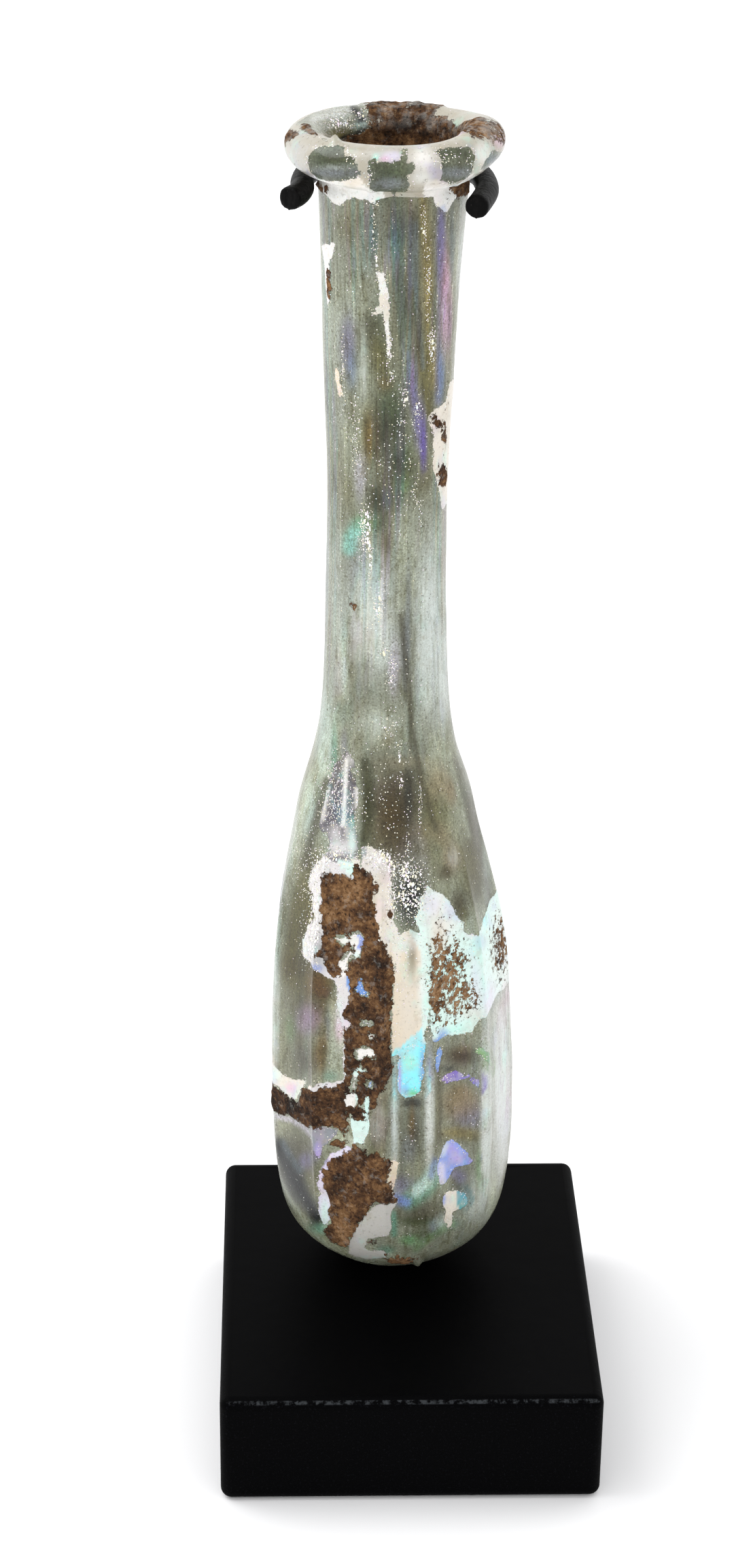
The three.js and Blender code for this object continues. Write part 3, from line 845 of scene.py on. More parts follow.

# %% [markdown]
# On the right the ridges between the flutes are milky bands, lightened by painted highlights, and the
# right outline is pale with painted light. Between the ridges the glass is brown above and grey green
# below, with traces of blue and green near the base. Along the foot it is painted dark where the black
# block is seen through the glass.

# %% Washes on the right of the body
RIGHT_WASHES = [
    ("pink", 500, 1512, 7, 18, 0.8), ("tan", 556, 1650, 16, 50, 0.95), ("olive", 556, 1650, 16, 50, 0.4),
    ("olive", 552, 1690, 14, 18, 0.8), ("umber", 566, 1620, 8, 12, 0.4),
    # The narrow frost and milk on the ridges, here and below, are milky glass with painted highlights.
    ("frost", 581, 1650, 5, 90, 0.85), ("ink", 607, 1622, 16, 8, 0.95), ("smoke", 608, 1665, 13, 36, 0.9),
    ("steel", 600, 1690, 10, 20, 0.7), ("amber", 606, 1650, 4, 26, 0.6),
    ("steel", 600, 1742, 16, 12, 0.7), ("milk", 632, 1640, 6, 90, 0.95), ("olive", 645, 1620, 3, 80, 0.5),
    ("umber", 678, 1552, 26, 16, 0.98), ("tan", 684, 1542, 10, 5, 0.5), ("ink", 660, 1572, 14, 4, 0.8),
    ("tan", 676, 1622, 24, 26, 0.8), ("dusk", 690, 1640, 22, 20, 0.6), ("tan", 680, 1606, 12, 10, 0.7),
    ("gold", 674, 1666, 26, 9, 0.9), ("olive", 690, 1672, 14, 10, 0.7), ("milk", 715, 1620, 7, 130, 0.95),
    # The milk at 738 and the lilac white at 742 lie along the right outline and are partly painted light.
    ("milk", 738, 1600, 12, 140, 0.95), ("pink", 744, 1610, 7, 26, 0.9), ("lilac", 742, 1655, 6, 14, 0.6),
    ("pink", 740, 1500, 8, 30, 0.6), ("grey green", 752, 1560, 5, 90, 0.5),
    ("fern", 706, 1722, 6, 30, 0.8), ("pale green", 722, 1750, 12, 40, 0.8),
    ("steel", 680, 1755, 12, 20, 0.5), ("moss", 612, 1796, 30, 8, 0.85),
    # The wide smoke along the foot is painted dark where the black block is seen through the glass.
    ("smoke", 620, 1780, 40, 20, 0.75), ("smoke", 680, 1735, 16, 24, 0.6),
    ("leaf", 604, 1824, 16, 8, 0.45), ("moss", 625, 1815, 22, 9, 0.6), ("dusk", 640, 1806, 8, 14, 0.5),
    ("grey green", 650, 1826, 30, 12, 0.7), ("sea", 655, 1800, 20, 8, 0.6),
    ("sea", 568, 1838, 14, 6, 0.6), ("frost", 700, 1785, 18, 20, 0.4),
    ("lilac white", 742, 1610, 10, 70, 0.95), ("frost", 652, 1798, 13, 12, 0.7),
    ("dusk", 590, 1742, 10, 16, 0.35), ("pink", 746, 1600, 7, 40, 0.5), ("gold", 680, 1668, 26, 8, 0.5),
    ("tan", 680, 1622, 26, 22, 0.75), ("dusk", 588, 1745, 12, 14, 0.3), ("tan", 554, 1646, 12, 46, 0.6),
]
print(len(RIGHT_WASHES), "on the right")

# %% [markdown]
# Where the lip has lost its film the glass is dark bottle green. A painted grey reflection runs along
# the lower half of each window.

# %% Washes on the lip
LIP_WASHES = [
    ("bottle", 490, 240, 60, 40, 0.95), ("bottle", 575, 260, 40, 40, 0.95),
    # Painted reflection: the steel, the frost and the grey green on the windows below.
    ("bottle", 670, 240, 50, 40, 0.95), ("steel", 495, 254, 42, 8, 0.9), ("steel", 575, 271, 28, 9, 0.9),
    ("steel", 672, 254, 28, 9, 0.9), ("grey green", 670, 238, 20, 8, 0.45),
    ("frost", 496, 246, 26, 3.5, 0.5), ("dark olive", 492, 232, 28, 6, 0.6),
    ("stone", 590, 168, 50, 8, 0.6), ("grey green", 478, 178, 44, 22, 0.9),
    ("frost", 500, 172, 14, 10, 0.8), ("ink", 522, 162, 12, 7, 0.8), ("gold", 500, 196, 22, 6, 0.6),
    ("slate", 532, 178, 8, 12, 0.8), ("slate", 724, 236, 12, 12, 0.8),
]
GLASS_WASHES = NECK_WASHES + SHOULDER_WASHES + LEFT_WASHES + RIGHT_WASHES + LIP_WASHES
print(len(GLASS_WASHES), "washes on the glass in all")

# %% [markdown]
# The films have washes of their own, because a film turns from cream to blue or pink where it grows
# thin.

# %% Washes on the films
FILM_WASHES = [
    ("blue", 622, 1570, 5, 34, 0.8), ("turquoise", 603, 1562, 12, 12, 0.8),
    ("leaf", 606, 1607, 12, 5, 0.9), ("lilac", 588, 1585, 3, 34, 0.9),
    ("cornflower", 596, 1604, 6, 10, 0.6), ("ivory", 602, 1480, 16, 60, 0.7),
    ("smoke", 606, 1402, 7, 34, 0.7), ("white", 584, 1400, 6, 30, 0.5), ("milk", 620, 1450, 6, 60, 0.7),
    ("white", 652, 1340, 26, 44, 0.8), ("lilac white", 700, 1450, 9, 40, 0.5),
    ("ivory", 645, 1375, 14, 34, 0.8), ("lilac white", 634, 1330, 14, 16, 0.6),
    ("turquoise", 668, 1322, 10, 8, 0.3), ("pink", 694, 1363, 9, 12, 0.95),
    ("blue", 652, 1522, 9, 9, 0.8), ("turquoise", 672, 1514, 16, 6, 0.4),
    ("lilac white", 720, 1470, 10, 30, 0.8), ("blue", 706, 1385, 9, 12, 0.35),
    ("pink", 748, 1460, 10, 20, 0.6), ("ivory", 694, 1490, 18, 10, 0.5), ("cyan", 712, 1352, 4, 10, 0.5),
    ("sea", 680, 1772, 8, 6, 0.6), ("cornflower", 652, 1764, 4, 8, 0.9),
    ("lilac white", 480, 1600, 12, 8, 0.5), ("pink", 428, 1600, 8, 8, 0.7),
    ("aqua white", 404, 1580, 10, 12, 0.7), ("cornflower", 464, 1424, 12, 6, 0.9),
    ("steel", 470, 1400, 14, 30, 0.6), ("aqua white", 500, 1490, 8, 20, 0.6),
    ("aqua white", 478, 1786, 7, 24, 0.95), ("cornflower", 528, 1690, 10, 4, 0.8),
    ("turquoise", 553, 231, 5, 5, 0.9), ("leaf", 591, 226, 3, 4, 0.7), ("stone", 560, 226, 30, 6, 0.6),
    ("lilac white", 578, 231, 18, 8, 0.8), ("pink", 566, 234, 8, 5, 0.6),
    ("white", 622, 235, 18, 18, 0.95), ("stone", 438, 232, 20, 26, 0.8), ("tan", 640, 268, 30, 7, 0.5),
    ("turquoise", 557, 297, 4, 5, 1.0), ("pink", 735, 205, 12, 12, 0.5), ("blue", 652, 308, 5, 5, 0.6),
    ("lilac", 468, 1694, 6, 16, 0.8), ("turquoise", 513, 792, 6, 12, 0.7), ("fern", 530, 788, 8, 14, 0.5),
    ("white", 710, 225, 12, 16, 0.9), ("tan", 500, 222, 30, 4, 0.3), ("pearl", 494, 1226, 9, 12, 0.7),
    ("white", 510, 1220, 4, 12, 0.5), ("pearl", 500, 1246, 28, 12, 0.95),
    ("pearl", 560, 1268, 28, 24, 0.85), ("white", 582, 1335, 12, 56, 0.75),
    ("white", 742, 1390, 18, 70, 0.7), ("white", 600, 1386, 20, 12, 0.6),
    ("aqua white", 518, 1236, 6, 22, 0.8), ("stone", 517, 1117, 7, 11, 0.8),
    ("milk", 500, 285, 30, 12, 0.8), ("milk", 665, 290, 20, 12, 0.8), ("milk", 622, 262, 16, 10, 0.6),
    ("cream", 520, 268, 20, 8, 0.6),
]
print(len(FILM_WASHES), "washes on the films")

# %% [markdown]
# Long narrow marks would take many soft spots in a row. A stroke is quicker to draw: it is a line of
# pixels with a width, and it goes over the washes.

# %% Strokes
GLASS_STROKES = [
    ("lilac white", [(405, 1641), (430, 1647), (447, 1657), (462, 1672), (466, 1692)], 4, 0.8),
    # Painted dark where the black block is seen through the glass at the lower left.
    ("ink", [(408, 1684), (421, 1710), (436, 1737), (450, 1764), (466, 1790)], 13, 1.0),
    ("slate", [(416, 1680), (430, 1706), (442, 1722)], 5, 0.5),
    ("pale green", [(398, 1705), (410, 1735), (428, 1768), (450, 1796)], 4, 0.6),
    ("sea", [(643, 1724), (626, 1748), (603, 1765)], 13, 0.9),
    ("aqua white", [(640, 1718), (630, 1738), (612, 1752)], 9, 0.9),
    ("cornflower", [(640, 1708), (634, 1730)], 5, 0.6),
    ("cornflower", [(582, 1763), (598, 1768)], 7, 0.9), ("sea", [(579, 1786), (580, 1815)], 5, 0.8),
    ("dusk", [(668, 1724), (678, 1732)], 9, 0.6),
    ("fern", [(612, 1836), (640, 1815), (664, 1800)], 6, 0.6),
    ("smoke", [(480, 1150), (467, 1200), (457, 1235), (449, 1272)], 8, 0.8),
    ("dark olive", [(536, 1120), (540, 1180), (536, 1240)], 7, 0.8),
    ("smoke", [(590, 906), (600, 1002), (608, 1082), (620, 1150), (642, 1220)], 5, 0.7),
    # Painted shade along the shoulder's right outline.
    ("smoke", [(668, 1120), (690, 1190), (712, 1270), (722, 1330)], 9, 0.6),
    ("pale green", [(655, 1090), (668, 1140), (690, 1230)], 4, 0.5),
    ("gold", [(622, 290), (630, 420), (640, 570)], 6, 0.75),
    ("dusk", [(650, 320), (648, 400), (644, 592)], 5, 0.4),
    ("olive", [(608, 430), (617, 520), (632, 610)], 4, 0.7),
    ("slate", [(612, 330), (612, 430), (622, 540)], 4, 0.5),
    ("violet", [(600, 520), (613, 600), (625, 690)], 5, 0.2),
    ("turquoise", [(514, 806), (516, 790), (528, 774)], 11, 0.6),
    # The frost stroke follows the neck's right outline and is painted light.
    ("fern", [(530, 768), (546, 770)], 12, 0.6), ("frost", [(686, 300), (677, 480), (664, 640)], 5, 0.6),
    ("smoke", [(394, 1330), (392, 1430), (394, 1520)], 5, 0.3),
    # Painted highlight along a ridge.
    ("milk", [(716, 1540), (716, 1640), (712, 1720)], 5, 0.8),
    ("smoke", [(645, 1560), (648, 1640), (646, 1680)], 4, 0.6),
    ("smoke", [(590, 1640), (592, 1740)], 5, 0.4), ("milk", [(462, 176), (486, 167), (512, 162)], 7, 0.7),
    ("ink", [(519, 158), (532, 176)], 4, 0.95), ("ink", [(498, 204), (522, 197), (538, 188)], 4, 0.95),
    ("aqua white", [(524, 186), (537, 183)], 4, 0.9), ("gold", [(478, 204), (502, 198)], 3, 0.6),
]
FILM_STROKES = [
    ("white", [(510, 1116), (508, 1165), (505, 1214)], 3, 0.95),
    ("white", [(482, 1160), (475, 1205)], 4, 0.6), ("white", [(526, 1160), (526, 1186)], 4, 0.8),
    ("lilac", [(650, 1690), (662, 1688), (674, 1700)], 9, 0.7),
    ("violet", [(684, 1700), (694, 1709)], 6, 0.7), ("pink", [(664, 1706), (676, 1706)], 6, 0.25),
    ("lilac white", [(649, 1715), (650, 1742)], 6, 0.8),
    ("aqua white", [(655, 1683), (651, 1696)], 5, 0.5),
]
print(len(GLASS_STROKES), "strokes on the glass,", len(FILM_STROKES), "on the films")

# %% [markdown]
# Washes and strokes lie only on what faces the eye, or they would come out again on the far side. A
# point's pixel and its normal settle both. Under them is a ground that changes slowly from grey green
# to olive.

# %% Laying the colours
to_eye = np.array(EYE) / MM - moved
to_eye /= np.linalg.norm(to_eye, axis=1)[:, None]
facing = smooth((normals * to_eye).sum(axis=1), -0.1, 0.2)
facing = facing * (outer | ON_LIP | (rows < BORE_END))
pixel_x, pixel_y = pixels_of(moved * MM)


def spot(x, y, wide, high):
    """Soft oval on the side that faces the eye."""
    return facing * np.exp(-(((pixel_x - x) / wide) ** 2 + ((pixel_y - y) / high) ** 2) ** 1.4)


def stroke(points, wide):
    """Soft brush stroke along a line of pixels."""
    gaps = []
    for (x, y), (next_x, next_y) in zip(points, points[1:]):
        across, down = next_x - x, next_y - y
        share = ((pixel_x - x) * across + (pixel_y - y) * down) / (across ** 2 + down ** 2)
        share = np.clip(share, 0, 1)
        gaps.append(np.hypot(pixel_x - x - share * across, pixel_y - y - share * down))
    return facing * np.exp(-(np.min(gaps, axis=0) / wide) ** 2.8)


def wash(colours, washes, strokes):
    """Lays soft spots of colour one over the other, and then strokes."""
    for swatch, x, y, wide, high, strength in washes:
        colours = mix(colours, linear(swatch), (strength * spot(x, y, wide, high))[:, None])
    for swatch, points, wide, strength in strokes:
        colours = mix(colours, linear(swatch), (strength * stroke(points, wide))[:, None])
    return colours


slow = noise_at(base, 22, stretch=2.2, seed=3)
glass_colour = mix(linear("grey green"), linear("pale green"), smooth(slow, -0.4, 0.5)[:, None])
olive_share = 0.35 * smooth(noise_at(base, 16, 2, 4), 0.05, 0.6)
glass_colour = mix(glass_colour, linear("olive"), olive_share[:, None])
glass_colour = wash(glass_colour, GLASS_WASHES, GLASS_STROKES)
film_colour = wash(film_colour, FILM_WASHES, FILM_STROKES)
print("Mean colour of the glass:", glass_colour.mean(axis=0).round(3))

# %% [markdown]
# The shader also needs to know where the glass glitters, where grains of soil lie on the film, where a
# thin veil makes the glass milky, and where the soil is dry and pale or wet and dark. Along the outlines
# and the ridges the veil also stands for painted light. Those are soft spots too, but they hold an
# amount and no colour.

# %% Amounts
GLITTER = [
    (604, 1310, 27, 46, 1.2), (590, 1275, 16, 14, 1.0), (549, 335, 2, 36, 1.5), (554, 385, 2.5, 26, 1.4),
    (572, 520, 4, 36, 1.3), (578, 552, 3, 8, 1.2), (624, 330, 3.5, 40, 1.1), (630, 420, 4, 60, 1.0),
    (636, 505, 5, 34, 1.5), (590, 600, 16, 50, 0.3), (597, 583, 4, 14, 1.4), (616, 600, 6, 14, 1.2),
    (538, 780, 9, 36, 1.4), (545, 830, 4, 30, 1.1), (556, 890, 7, 20, 1.4), (566, 958, 8, 8, 1.4),
    (576, 990, 8, 24, 1.0), (575, 690, 34, 60, 0.22), (612, 725, 4, 20, 1.0), (619, 760, 3, 22, 0.8),
    (500, 1175, 26, 56, 0.9), (588, 1110, 2, 14, 1.4), (590, 1150, 3, 14, 1.5), (600, 1240, 2.5, 50, 1.0),
    (618, 1185, 2.5, 40, 1.2), (570, 1180, 40, 60, 0.12), (500, 182, 24, 14, 1.2),
    (530, 168, 10, 12, 1.3), (516, 236, 8, 8, 0.7), (666, 230, 14, 7, 0.5), (692, 235, 5, 12, 0.9),
    (545, 258, 6, 8, 0.9), (505, 540, 3, 50, 0.9), (524, 640, 8, 60, 0.6), (556, 1262, 14, 12, 0.9),
    (474, 1275, 14, 20, 0.6), (590, 1420, 14, 60, 0.35), (607, 1665, 6, 16, 0.5), (645, 232, 14, 10, 0.8),
    (566, 428, 4, 20, 0.6), (575, 1070, 16, 30, 0.4), (450, 1280, 20, 60, 0.25), (464, 1330, 11, 60, 1.0),
    (456, 1388, 13, 30, 1.0), (500, 1262, 30, 16, 1.0), (562, 1266, 18, 16, 1.2), (500, 1470, 6, 60, 0.4),
    (574, 1330, 9, 50, 0.8),
]
SPECKLES = [
    (662, 1440, 38, 80, 0.86), (642, 1400, 9, 56, 0.3), (640, 1480, 9, 34, 0.5),
    (694, 1466, 14, 30, 0.25), (655, 1350, 14, 18, 0.25), (706, 1470, 6, 20, 0.4),
    (736, 1390, 18, 60, 0.84), (655, 640, 8, 80, 0.3), (445, 190, 26, 14, 0.4), (520, 890, 6, 6, 1.1),
    (516, 882, 4, 4, 0.8), (522, 1430, 14, 20, 0.5), (430, 240, 20, 20, 0.25), (500, 300, 20, 8, 0.3),
    (650, 250, 30, 20, 0.3), (724, 192, 26, 20, 0.98), (700, 190, 16, 16, 0.72), (742, 208, 8, 16, 0.5),
    (520, 960, 30, 100, 0.2), (620, 900, 30, 100, 0.15), (540, 1640, 12, 30, 0.3),
    (548, 1827, 10, 5, 1.0), (573, 1344, 5, 8, 1.2), (600, 268, 12, 8, 0.5), (484, 225, 20, 4, 0.3),
    (668, 286, 12, 8, 0.7),
]
# Milky veils; those along the outlines and the ridges are also painted light.
VEILS_AND_PAINTED_LIGHT = [
    (402, 1500, 8, 140, 0.9), (738, 1560, 14, 130, 0.95), (716, 1640, 7, 110, 0.9),
    (632, 1630, 5, 80, 0.8), (581, 1640, 4, 80, 0.7), (545, 920, 30, 80, 0.6), (632, 930, 20, 120, 0.75),
    (495, 880, 8, 140, 0.15), (500, 1500, 8, 40, 0.6), (700, 1760, 20, 30, 0.4), (716, 1240, 6, 70, 0.25),
    (556, 1650, 10, 30, 0.3), (684, 420, 8, 120, 0.8), (534, 540, 7, 50, 0.5), (478, 1080, 12, 80, 0.2),
    (667, 1262, 10, 14, 0.4), (744, 1610, 10, 80, 0.5), (752, 1420, 8, 120, 0.8), (652, 1000, 8, 60, 0.6),
    (556, 1066, 24, 20, 0.4),
]


def amount(spots):
    """Soft spots added up."""
    total = np.zeros(len(azimuth))
    for x, y, wide, high, strength in spots:
        total += strength * spot(x, y, wide, high)
    return np.clip(total, 0, 1.5)


DRY_SOIL = [
    (512, 1312, 36, 36, 0.9), (540, 1390, 22, 30, 0.4), (508, 1806, 22, 36, 1.0),
    (560, 1730, 10, 30, 0.4), (662, 1440, 44, 90, 1.3), (736, 1400, 20, 60, 0.6), (590, 1850, 34, 9, 1.3),
    (600, 208, 60, 8, 1.2), (724, 194, 24, 20, 0.7), (680, 282, 20, 14, 0.3),
]
WET_SOIL = [
    (430, 1630, 36, 26, 1.3), (558, 1420, 12, 34, 0.6), (530, 1590, 40, 60, 0.7), (590, 186, 62, 12, 0.6),
    (500, 1735, 22, 26, 0.4), (646, 640, 16, 60, 0.6), (738, 1420, 10, 30, 0.3),
]
glitter, speckle, veil = amount(GLITTER), amount(SPECKLES), amount(VEILS_AND_PAINTED_LIGHT)
dryness = amount(DRY_SOIL) - amount(WET_SOIL)
print("Glitter on", int((glitter > 0.5).sum()), "vertices, grains on", int((speckle > 0.5).sum()))

# %% [markdown]
# The picture doesn't show the back, so it is finished in keeping and plainer. Slow noise stands for the
# outlines there and takes over past the sides: crusts with a rim of film round them, films by
# themselves, and washes of a few tones. It is bare beside the rod. The hidden side of the lip keeps its
# film, with windows and grains in it.

# %% Back and inside
FILM_ABOVE = 0.34
CRUST_ABOVE = 0.27
RIM = 1.6
LIP_FILM_SHARE = 0.1
PATCH_SLOPE = 9
BACK_FILMS = [
    ("stone", -0.1, 0.1), ("lilac white", 0.1, 0.3), ("aqua white", 0.4, 0.6), ("cream", -0.2, -0.4),
]
BACK_TONES = [
    ("umber", 14, 2, 31, 0.8), ("frost", 12, 3, 32, 0.8), ("olive", 8, 3, 33, 0.7), ("dusk", 5, 5, 34, 0.5),
    ("steel", 7, 2, 35, 0.5), ("gold", 4, 8, 36, 0.4),
]
behind = smooth(np.abs(azimuth), math.radians(90), math.radians(106)) * outer
beside_rod = smooth(np.abs(azimuth), math.radians(150), math.radians(164))
upper = smooth(height, 60, 100)
back_film = PATCH_SLOPE * (noise_at(base, 9, 2.2, 8, octaves=5) - FILM_ABOVE - 0.1 * upper)
back_crust = PATCH_SLOPE * (noise_at(base, 12, 2, 7, octaves=5) - CRUST_ABOVE - 0.2 * upper - beside_rod)
back_film = np.maximum(back_film, back_crust + RIM + 2 * noise_at(base, 6, 2, 10))
film = np.where(height < NECK_TOP - 1, mix(film, np.clip(back_film, NOWHERE, 4), behind), film)
crust = mix(crust, np.clip(back_crust, NOWHERE, 4), behind)
behind_lip = smooth(np.abs(azimuth), math.radians(95), math.radians(110)) * ON_LIP * (1 - facing)
lip_film = PATCH_SLOPE * (noise_at(base, 8, 1, 12) + LIP_FILM_SHARE)
film = mix(film, np.clip(lip_film, NOWHERE, 3), behind_lip)
speckle = np.maximum(speckle, behind_lip * 0.85 * smooth(noise_at(base, 6, 1, 13), -0.1, 0.4))
hues = noise_at(base, 9, 1.5, 9)
for swatch, size, stretch, seed, strength in BACK_TONES:
    patches = smooth(noise_at(base, size, stretch, seed), 0.0, 0.35)
    glass_colour = mix(glass_colour, linear(swatch), (behind * strength * patches)[:, None])
for swatch, low, high in BACK_FILMS:
    film_colour = mix(film_colour, linear(swatch), (behind * 0.8 * smooth(hues, low, high))[:, None])
print("Behind, crust covers", round(100 * float((crust[behind > 0.5] > 0).mean())), "percent")

# %% [markdown]
# A crust that is only painted on would look flat from the side, so the glass really rises under it, by
# a quarter of a millimetre with grains on top. The films rise by less. On the lip a burst bubble left a
# small pit, and a fold of the soft glass runs down from it. Two small knobs stand on the lip and at the
# foot.

# %% Relief
CRUST_HEIGHT = 0.26
GRAIN_HEIGHT = 0.24
LUMP_HEIGHT = 0.14
FILM_HEIGHT = 0.07
BUBBLE = (541, 261)
BUBBLE_RIM = (11, 0.3)
BUBBLE_PIT = (5.5, 0.75)
KNOBS = [(493, 208, 6, 0.8), (614, 1856, 6, 0.9)]
FOLD = [(541, 266), (547, 281), (555, 296)]
FOLD_WIDTH = 6
FOLD_HEIGHT = 0.3
grains = noise_at(base, 0.85, seed=5, octaves=3)
lumps = noise_at(base, 3.2, seed=6)
crusted = smooth(crust + 0.4 * grains, -0.2, 0.5)
relief = crusted * (CRUST_HEIGHT + GRAIN_HEIGHT * grains + LUMP_HEIGHT * lumps)
relief += FILM_HEIGHT * smooth(film, -0.1, 0.35) * (1 - crusted)
surface = moved.copy()


def near_pixel(x, y, wide):
    """Soft spot on the side that faces the eye, a width in pixels across."""
    return np.exp(-((pixel_x - x) ** 2 + (pixel_y - y) ** 2) / wide ** 2) * facing * ~inside


for (wide, high), sign in ((BUBBLE_RIM, 1), (BUBBLE_PIT, -1)):
    relief += sign * high * near_pixel(*BUBBLE, wide)
relief += FOLD_HEIGHT * np.max([near_pixel(x, y, FOLD_WIDTH) for x, y in spline(FOLD, 8)], axis=0)
for x, y, wide, high in KNOBS:
    relief += high * near_pixel(x, y, wide)
surface += normals * relief[:, None]
print("Relief up to", round(float(relief.max()), 2), "mm")

# %% [markdown]
# The finished glass goes into a mesh. The distances, amounts and colours travel with it as attributes
# of its points, so that the material can read them by name.

# %% Mesh of the flask
def new_object(name, mesh):
    """An object for a mesh, at the origin."""
    made = bpy.data.objects.new(name, mesh)
    bpy.context.collection.objects.link(made)
    return made


def finish_mesh(name, bm, smooth_angle=None):
    """A named object from a bmesh, smooth all over or up to an angle."""
    mesh = bpy.data.meshes.new(name)
    bm.to_mesh(mesh)
    bm.free()
    mesh.polygons.foreach_set("use_smooth", [True] * len(mesh.polygons))
    if smooth_angle:
        mesh.set_sharp_from_angle(angle=smooth_angle)
    triangles = sum(len(face.vertices) - 2 for face in mesh.polygons)
    print(name, "has", triangles, "triangles")
    return new_object(name, mesh)


set_places(glass_bm, surface)
glass = finish_mesh("glass_flask", glass_bm)
amounts = {
    "crust": crust, "film": film, "glitter": glitter, "speckle": speckle, "veil": veil, "dryness": dryness,
}
for name, values in amounts.items():
    glass.data.attributes.new(name, "FLOAT", "POINT").data.foreach_set("value", values.astype(np.float32))
for name, colours in {"glass colour": glass_colour, "film colour": film_colour}.items():
    with_alpha = np.column_stack([colours, np.ones(len(colours))])
    layer = glass.data.attributes.new(name, "FLOAT_COLOR", "POINT")
    layer.data.foreach_set("color", with_alpha.astype(np.float32).ravel())

# %% [markdown]
# A material is a graph of nodes, and arithmetic in it is easier to read as arithmetic. The class Wire
# stands for one output of a node, and adding or multiplying wires adds the Math nodes. The class Finish
# holds a material and makes every other node in one way: its kind, its settings, and what feeds its
# sockets.

# %% Tools for materials
class Wire:
    """One output of a node. Arithmetic on it adds Math nodes."""

    def __init__(self, finish, socket):
        self.finish = finish
        self.socket = socket

    def math(self, operation, *terms):
        """One Math node."""
        return self.finish.node("ShaderNodeMath", {"operation": operation}, dict(enumerate(terms)))

    def __add__(self, other):
        return self.math("ADD", self, other)

    def __sub__(self, other):
        return self.math("SUBTRACT", self, other)

    def __rsub__(self, other):
        return self.math("SUBTRACT", other, self)

    def __mul__(self, other):
        return self.math("MULTIPLY", self, other)

    __radd__ = __add__
    __rmul__ = __mul__

    def most(self, other):
        """The larger of two values."""
        return self.math("MAXIMUM", self, other)


class Finish:
    """A material in the making. Sizes of patterns are in millimetres."""

    def __init__(self, name):
        self.material = bpy.data.materials.new(name)
        self.material.use_nodes = True
        self.tree = self.material.node_tree
        self.tree.nodes.clear()
        place = self.node("ShaderNodeTexCoord", output="Object")
        self.place = self.node("ShaderNodeVectorMath", {"operation": "SCALE"}, {0: place, "Scale": 1 / MM})

    def node(self, kind, settings=None, inputs=None, output=0):
        """One output of a new node. Its settings are set first, and its sockets fed after that."""
        node = self.tree.nodes.new(kind)
        for name, value in (settings or {}).items():
            if name == "stops":
                self.set_stops(node.color_ramp, value)
            else:
                setattr(node, name, value)
        for name, value in (inputs or {}).items():
            self.feed(node.inputs[name], value)
        return Wire(self, node.outputs[output]) if node.outputs else node

    def set_stops(self, ramp, stops):
        """Puts colours at places of a ramp."""
        while len(ramp.elements) < len(stops):
            ramp.elements.new(0.5)
        for element, (place, colour) in zip(ramp.elements, stops):
            element.position = place
            element.color = (*colour, 1)

    def feed(self, socket, value):
        """Links a wire to a socket, or sets the socket's own value."""
        if isinstance(value, Wire):
            self.tree.links.new(value.socket, socket)
        elif socket.type == "RGBA":
            socket.default_value = (*value, 1)
        else:
            socket.default_value = value

    def stretched(self, stretch):
        """The place, pressed together upwards so that a pattern comes out long."""
        scale = (1, 1, 1 / stretch)
        return self.node("ShaderNodeMapping", {}, {"Vector": self.place, "Scale": scale})

    def noise(self, size, detail=3, stretch=1, rough=0.55, wave=0):
        """Noise from 0 to 1 with lumps of a size."""
        return self.node("ShaderNodeTexNoise", {}, {
            "Vector": self.stretched(stretch), "Scale": 1 / size, "Detail": detail, "Roughness": rough,
            "Distortion": wave,
        })

    def cells(self, size, stretch=1, output="Distance"):
        """Distance from the middle of a cell of a size, or the cell's random colour."""
        return self.node("ShaderNodeTexVoronoi", {}, {
            "Vector": self.stretched(stretch), "Scale": 1 / size,
        }, output)

    def step(self, value, low, high):
        """Smooth step from 0 to 1 between two bounds, which may fall."""
        return self.node("ShaderNodeMapRange", {"interpolation_type": "SMOOTHSTEP"}, {
            "Value": value, "From Min": low, "From Max": high,
        })

    def sparkles(self, size, dense, stretch=1):
        """Mask of the cells that a random value picks out, and a second random value of each."""
        cell = self.cells(size, stretch, "Color")
        pick = self.node("ShaderNodeSeparateColor", {}, {0: cell}, "Red")
        tint = self.node("ShaderNodeSeparateColor", {}, {0: cell}, "Green")
        return self.step(pick + dense, 0.985, 1.0) * self.step(self.cells(size, stretch), 0.6, 0.46), tint

    def ramp(self, value, stops):
        """Colour of a ramp at a value."""
        return self.node("ShaderNodeValToRGB", {"stops": stops}, {"Fac": value})

    def paint(self, amount, under, over, blend="MIX"):
        """One colour over another by an amount."""
        settings = {"data_type": "RGBA", "blend_type": blend}
        return self.node("ShaderNodeMix", settings, {0: amount, 6: under, 7: over}, 2)

    def attribute(self, name, output="Fac"):
        """What the mesh's points carry under a name."""
        return self.node("ShaderNodeAttribute", {"attribute_name": name}, {}, output)

    def axis(self, letter):
        """Place along X, Y or Z in millimetres."""
        return self.node("ShaderNodeSeparateXYZ", {}, {0: self.place}, letter)

    def bump(self, height):
        """Normal of a fine relief whose height is in millimetres."""
        return self.node("ShaderNodeBump", {}, {"Height": height, "Distance": MM, "Strength": 1.0})

    def principled(self, **inputs):
        """Principled shader, with underscores for the spaces in its sockets' names."""
        return self.node("ShaderNodeBsdfPrincipled", {}, {
            name.replace("_", " "): value for name, value in inputs.items()
        })

    def done(self, shader):
        """The finished material."""
        self.node("ShaderNodeOutputMaterial", {}, {"Surface": shader})
        print(self.material.name, "has", len(self.tree.nodes), "nodes")
        return self.material
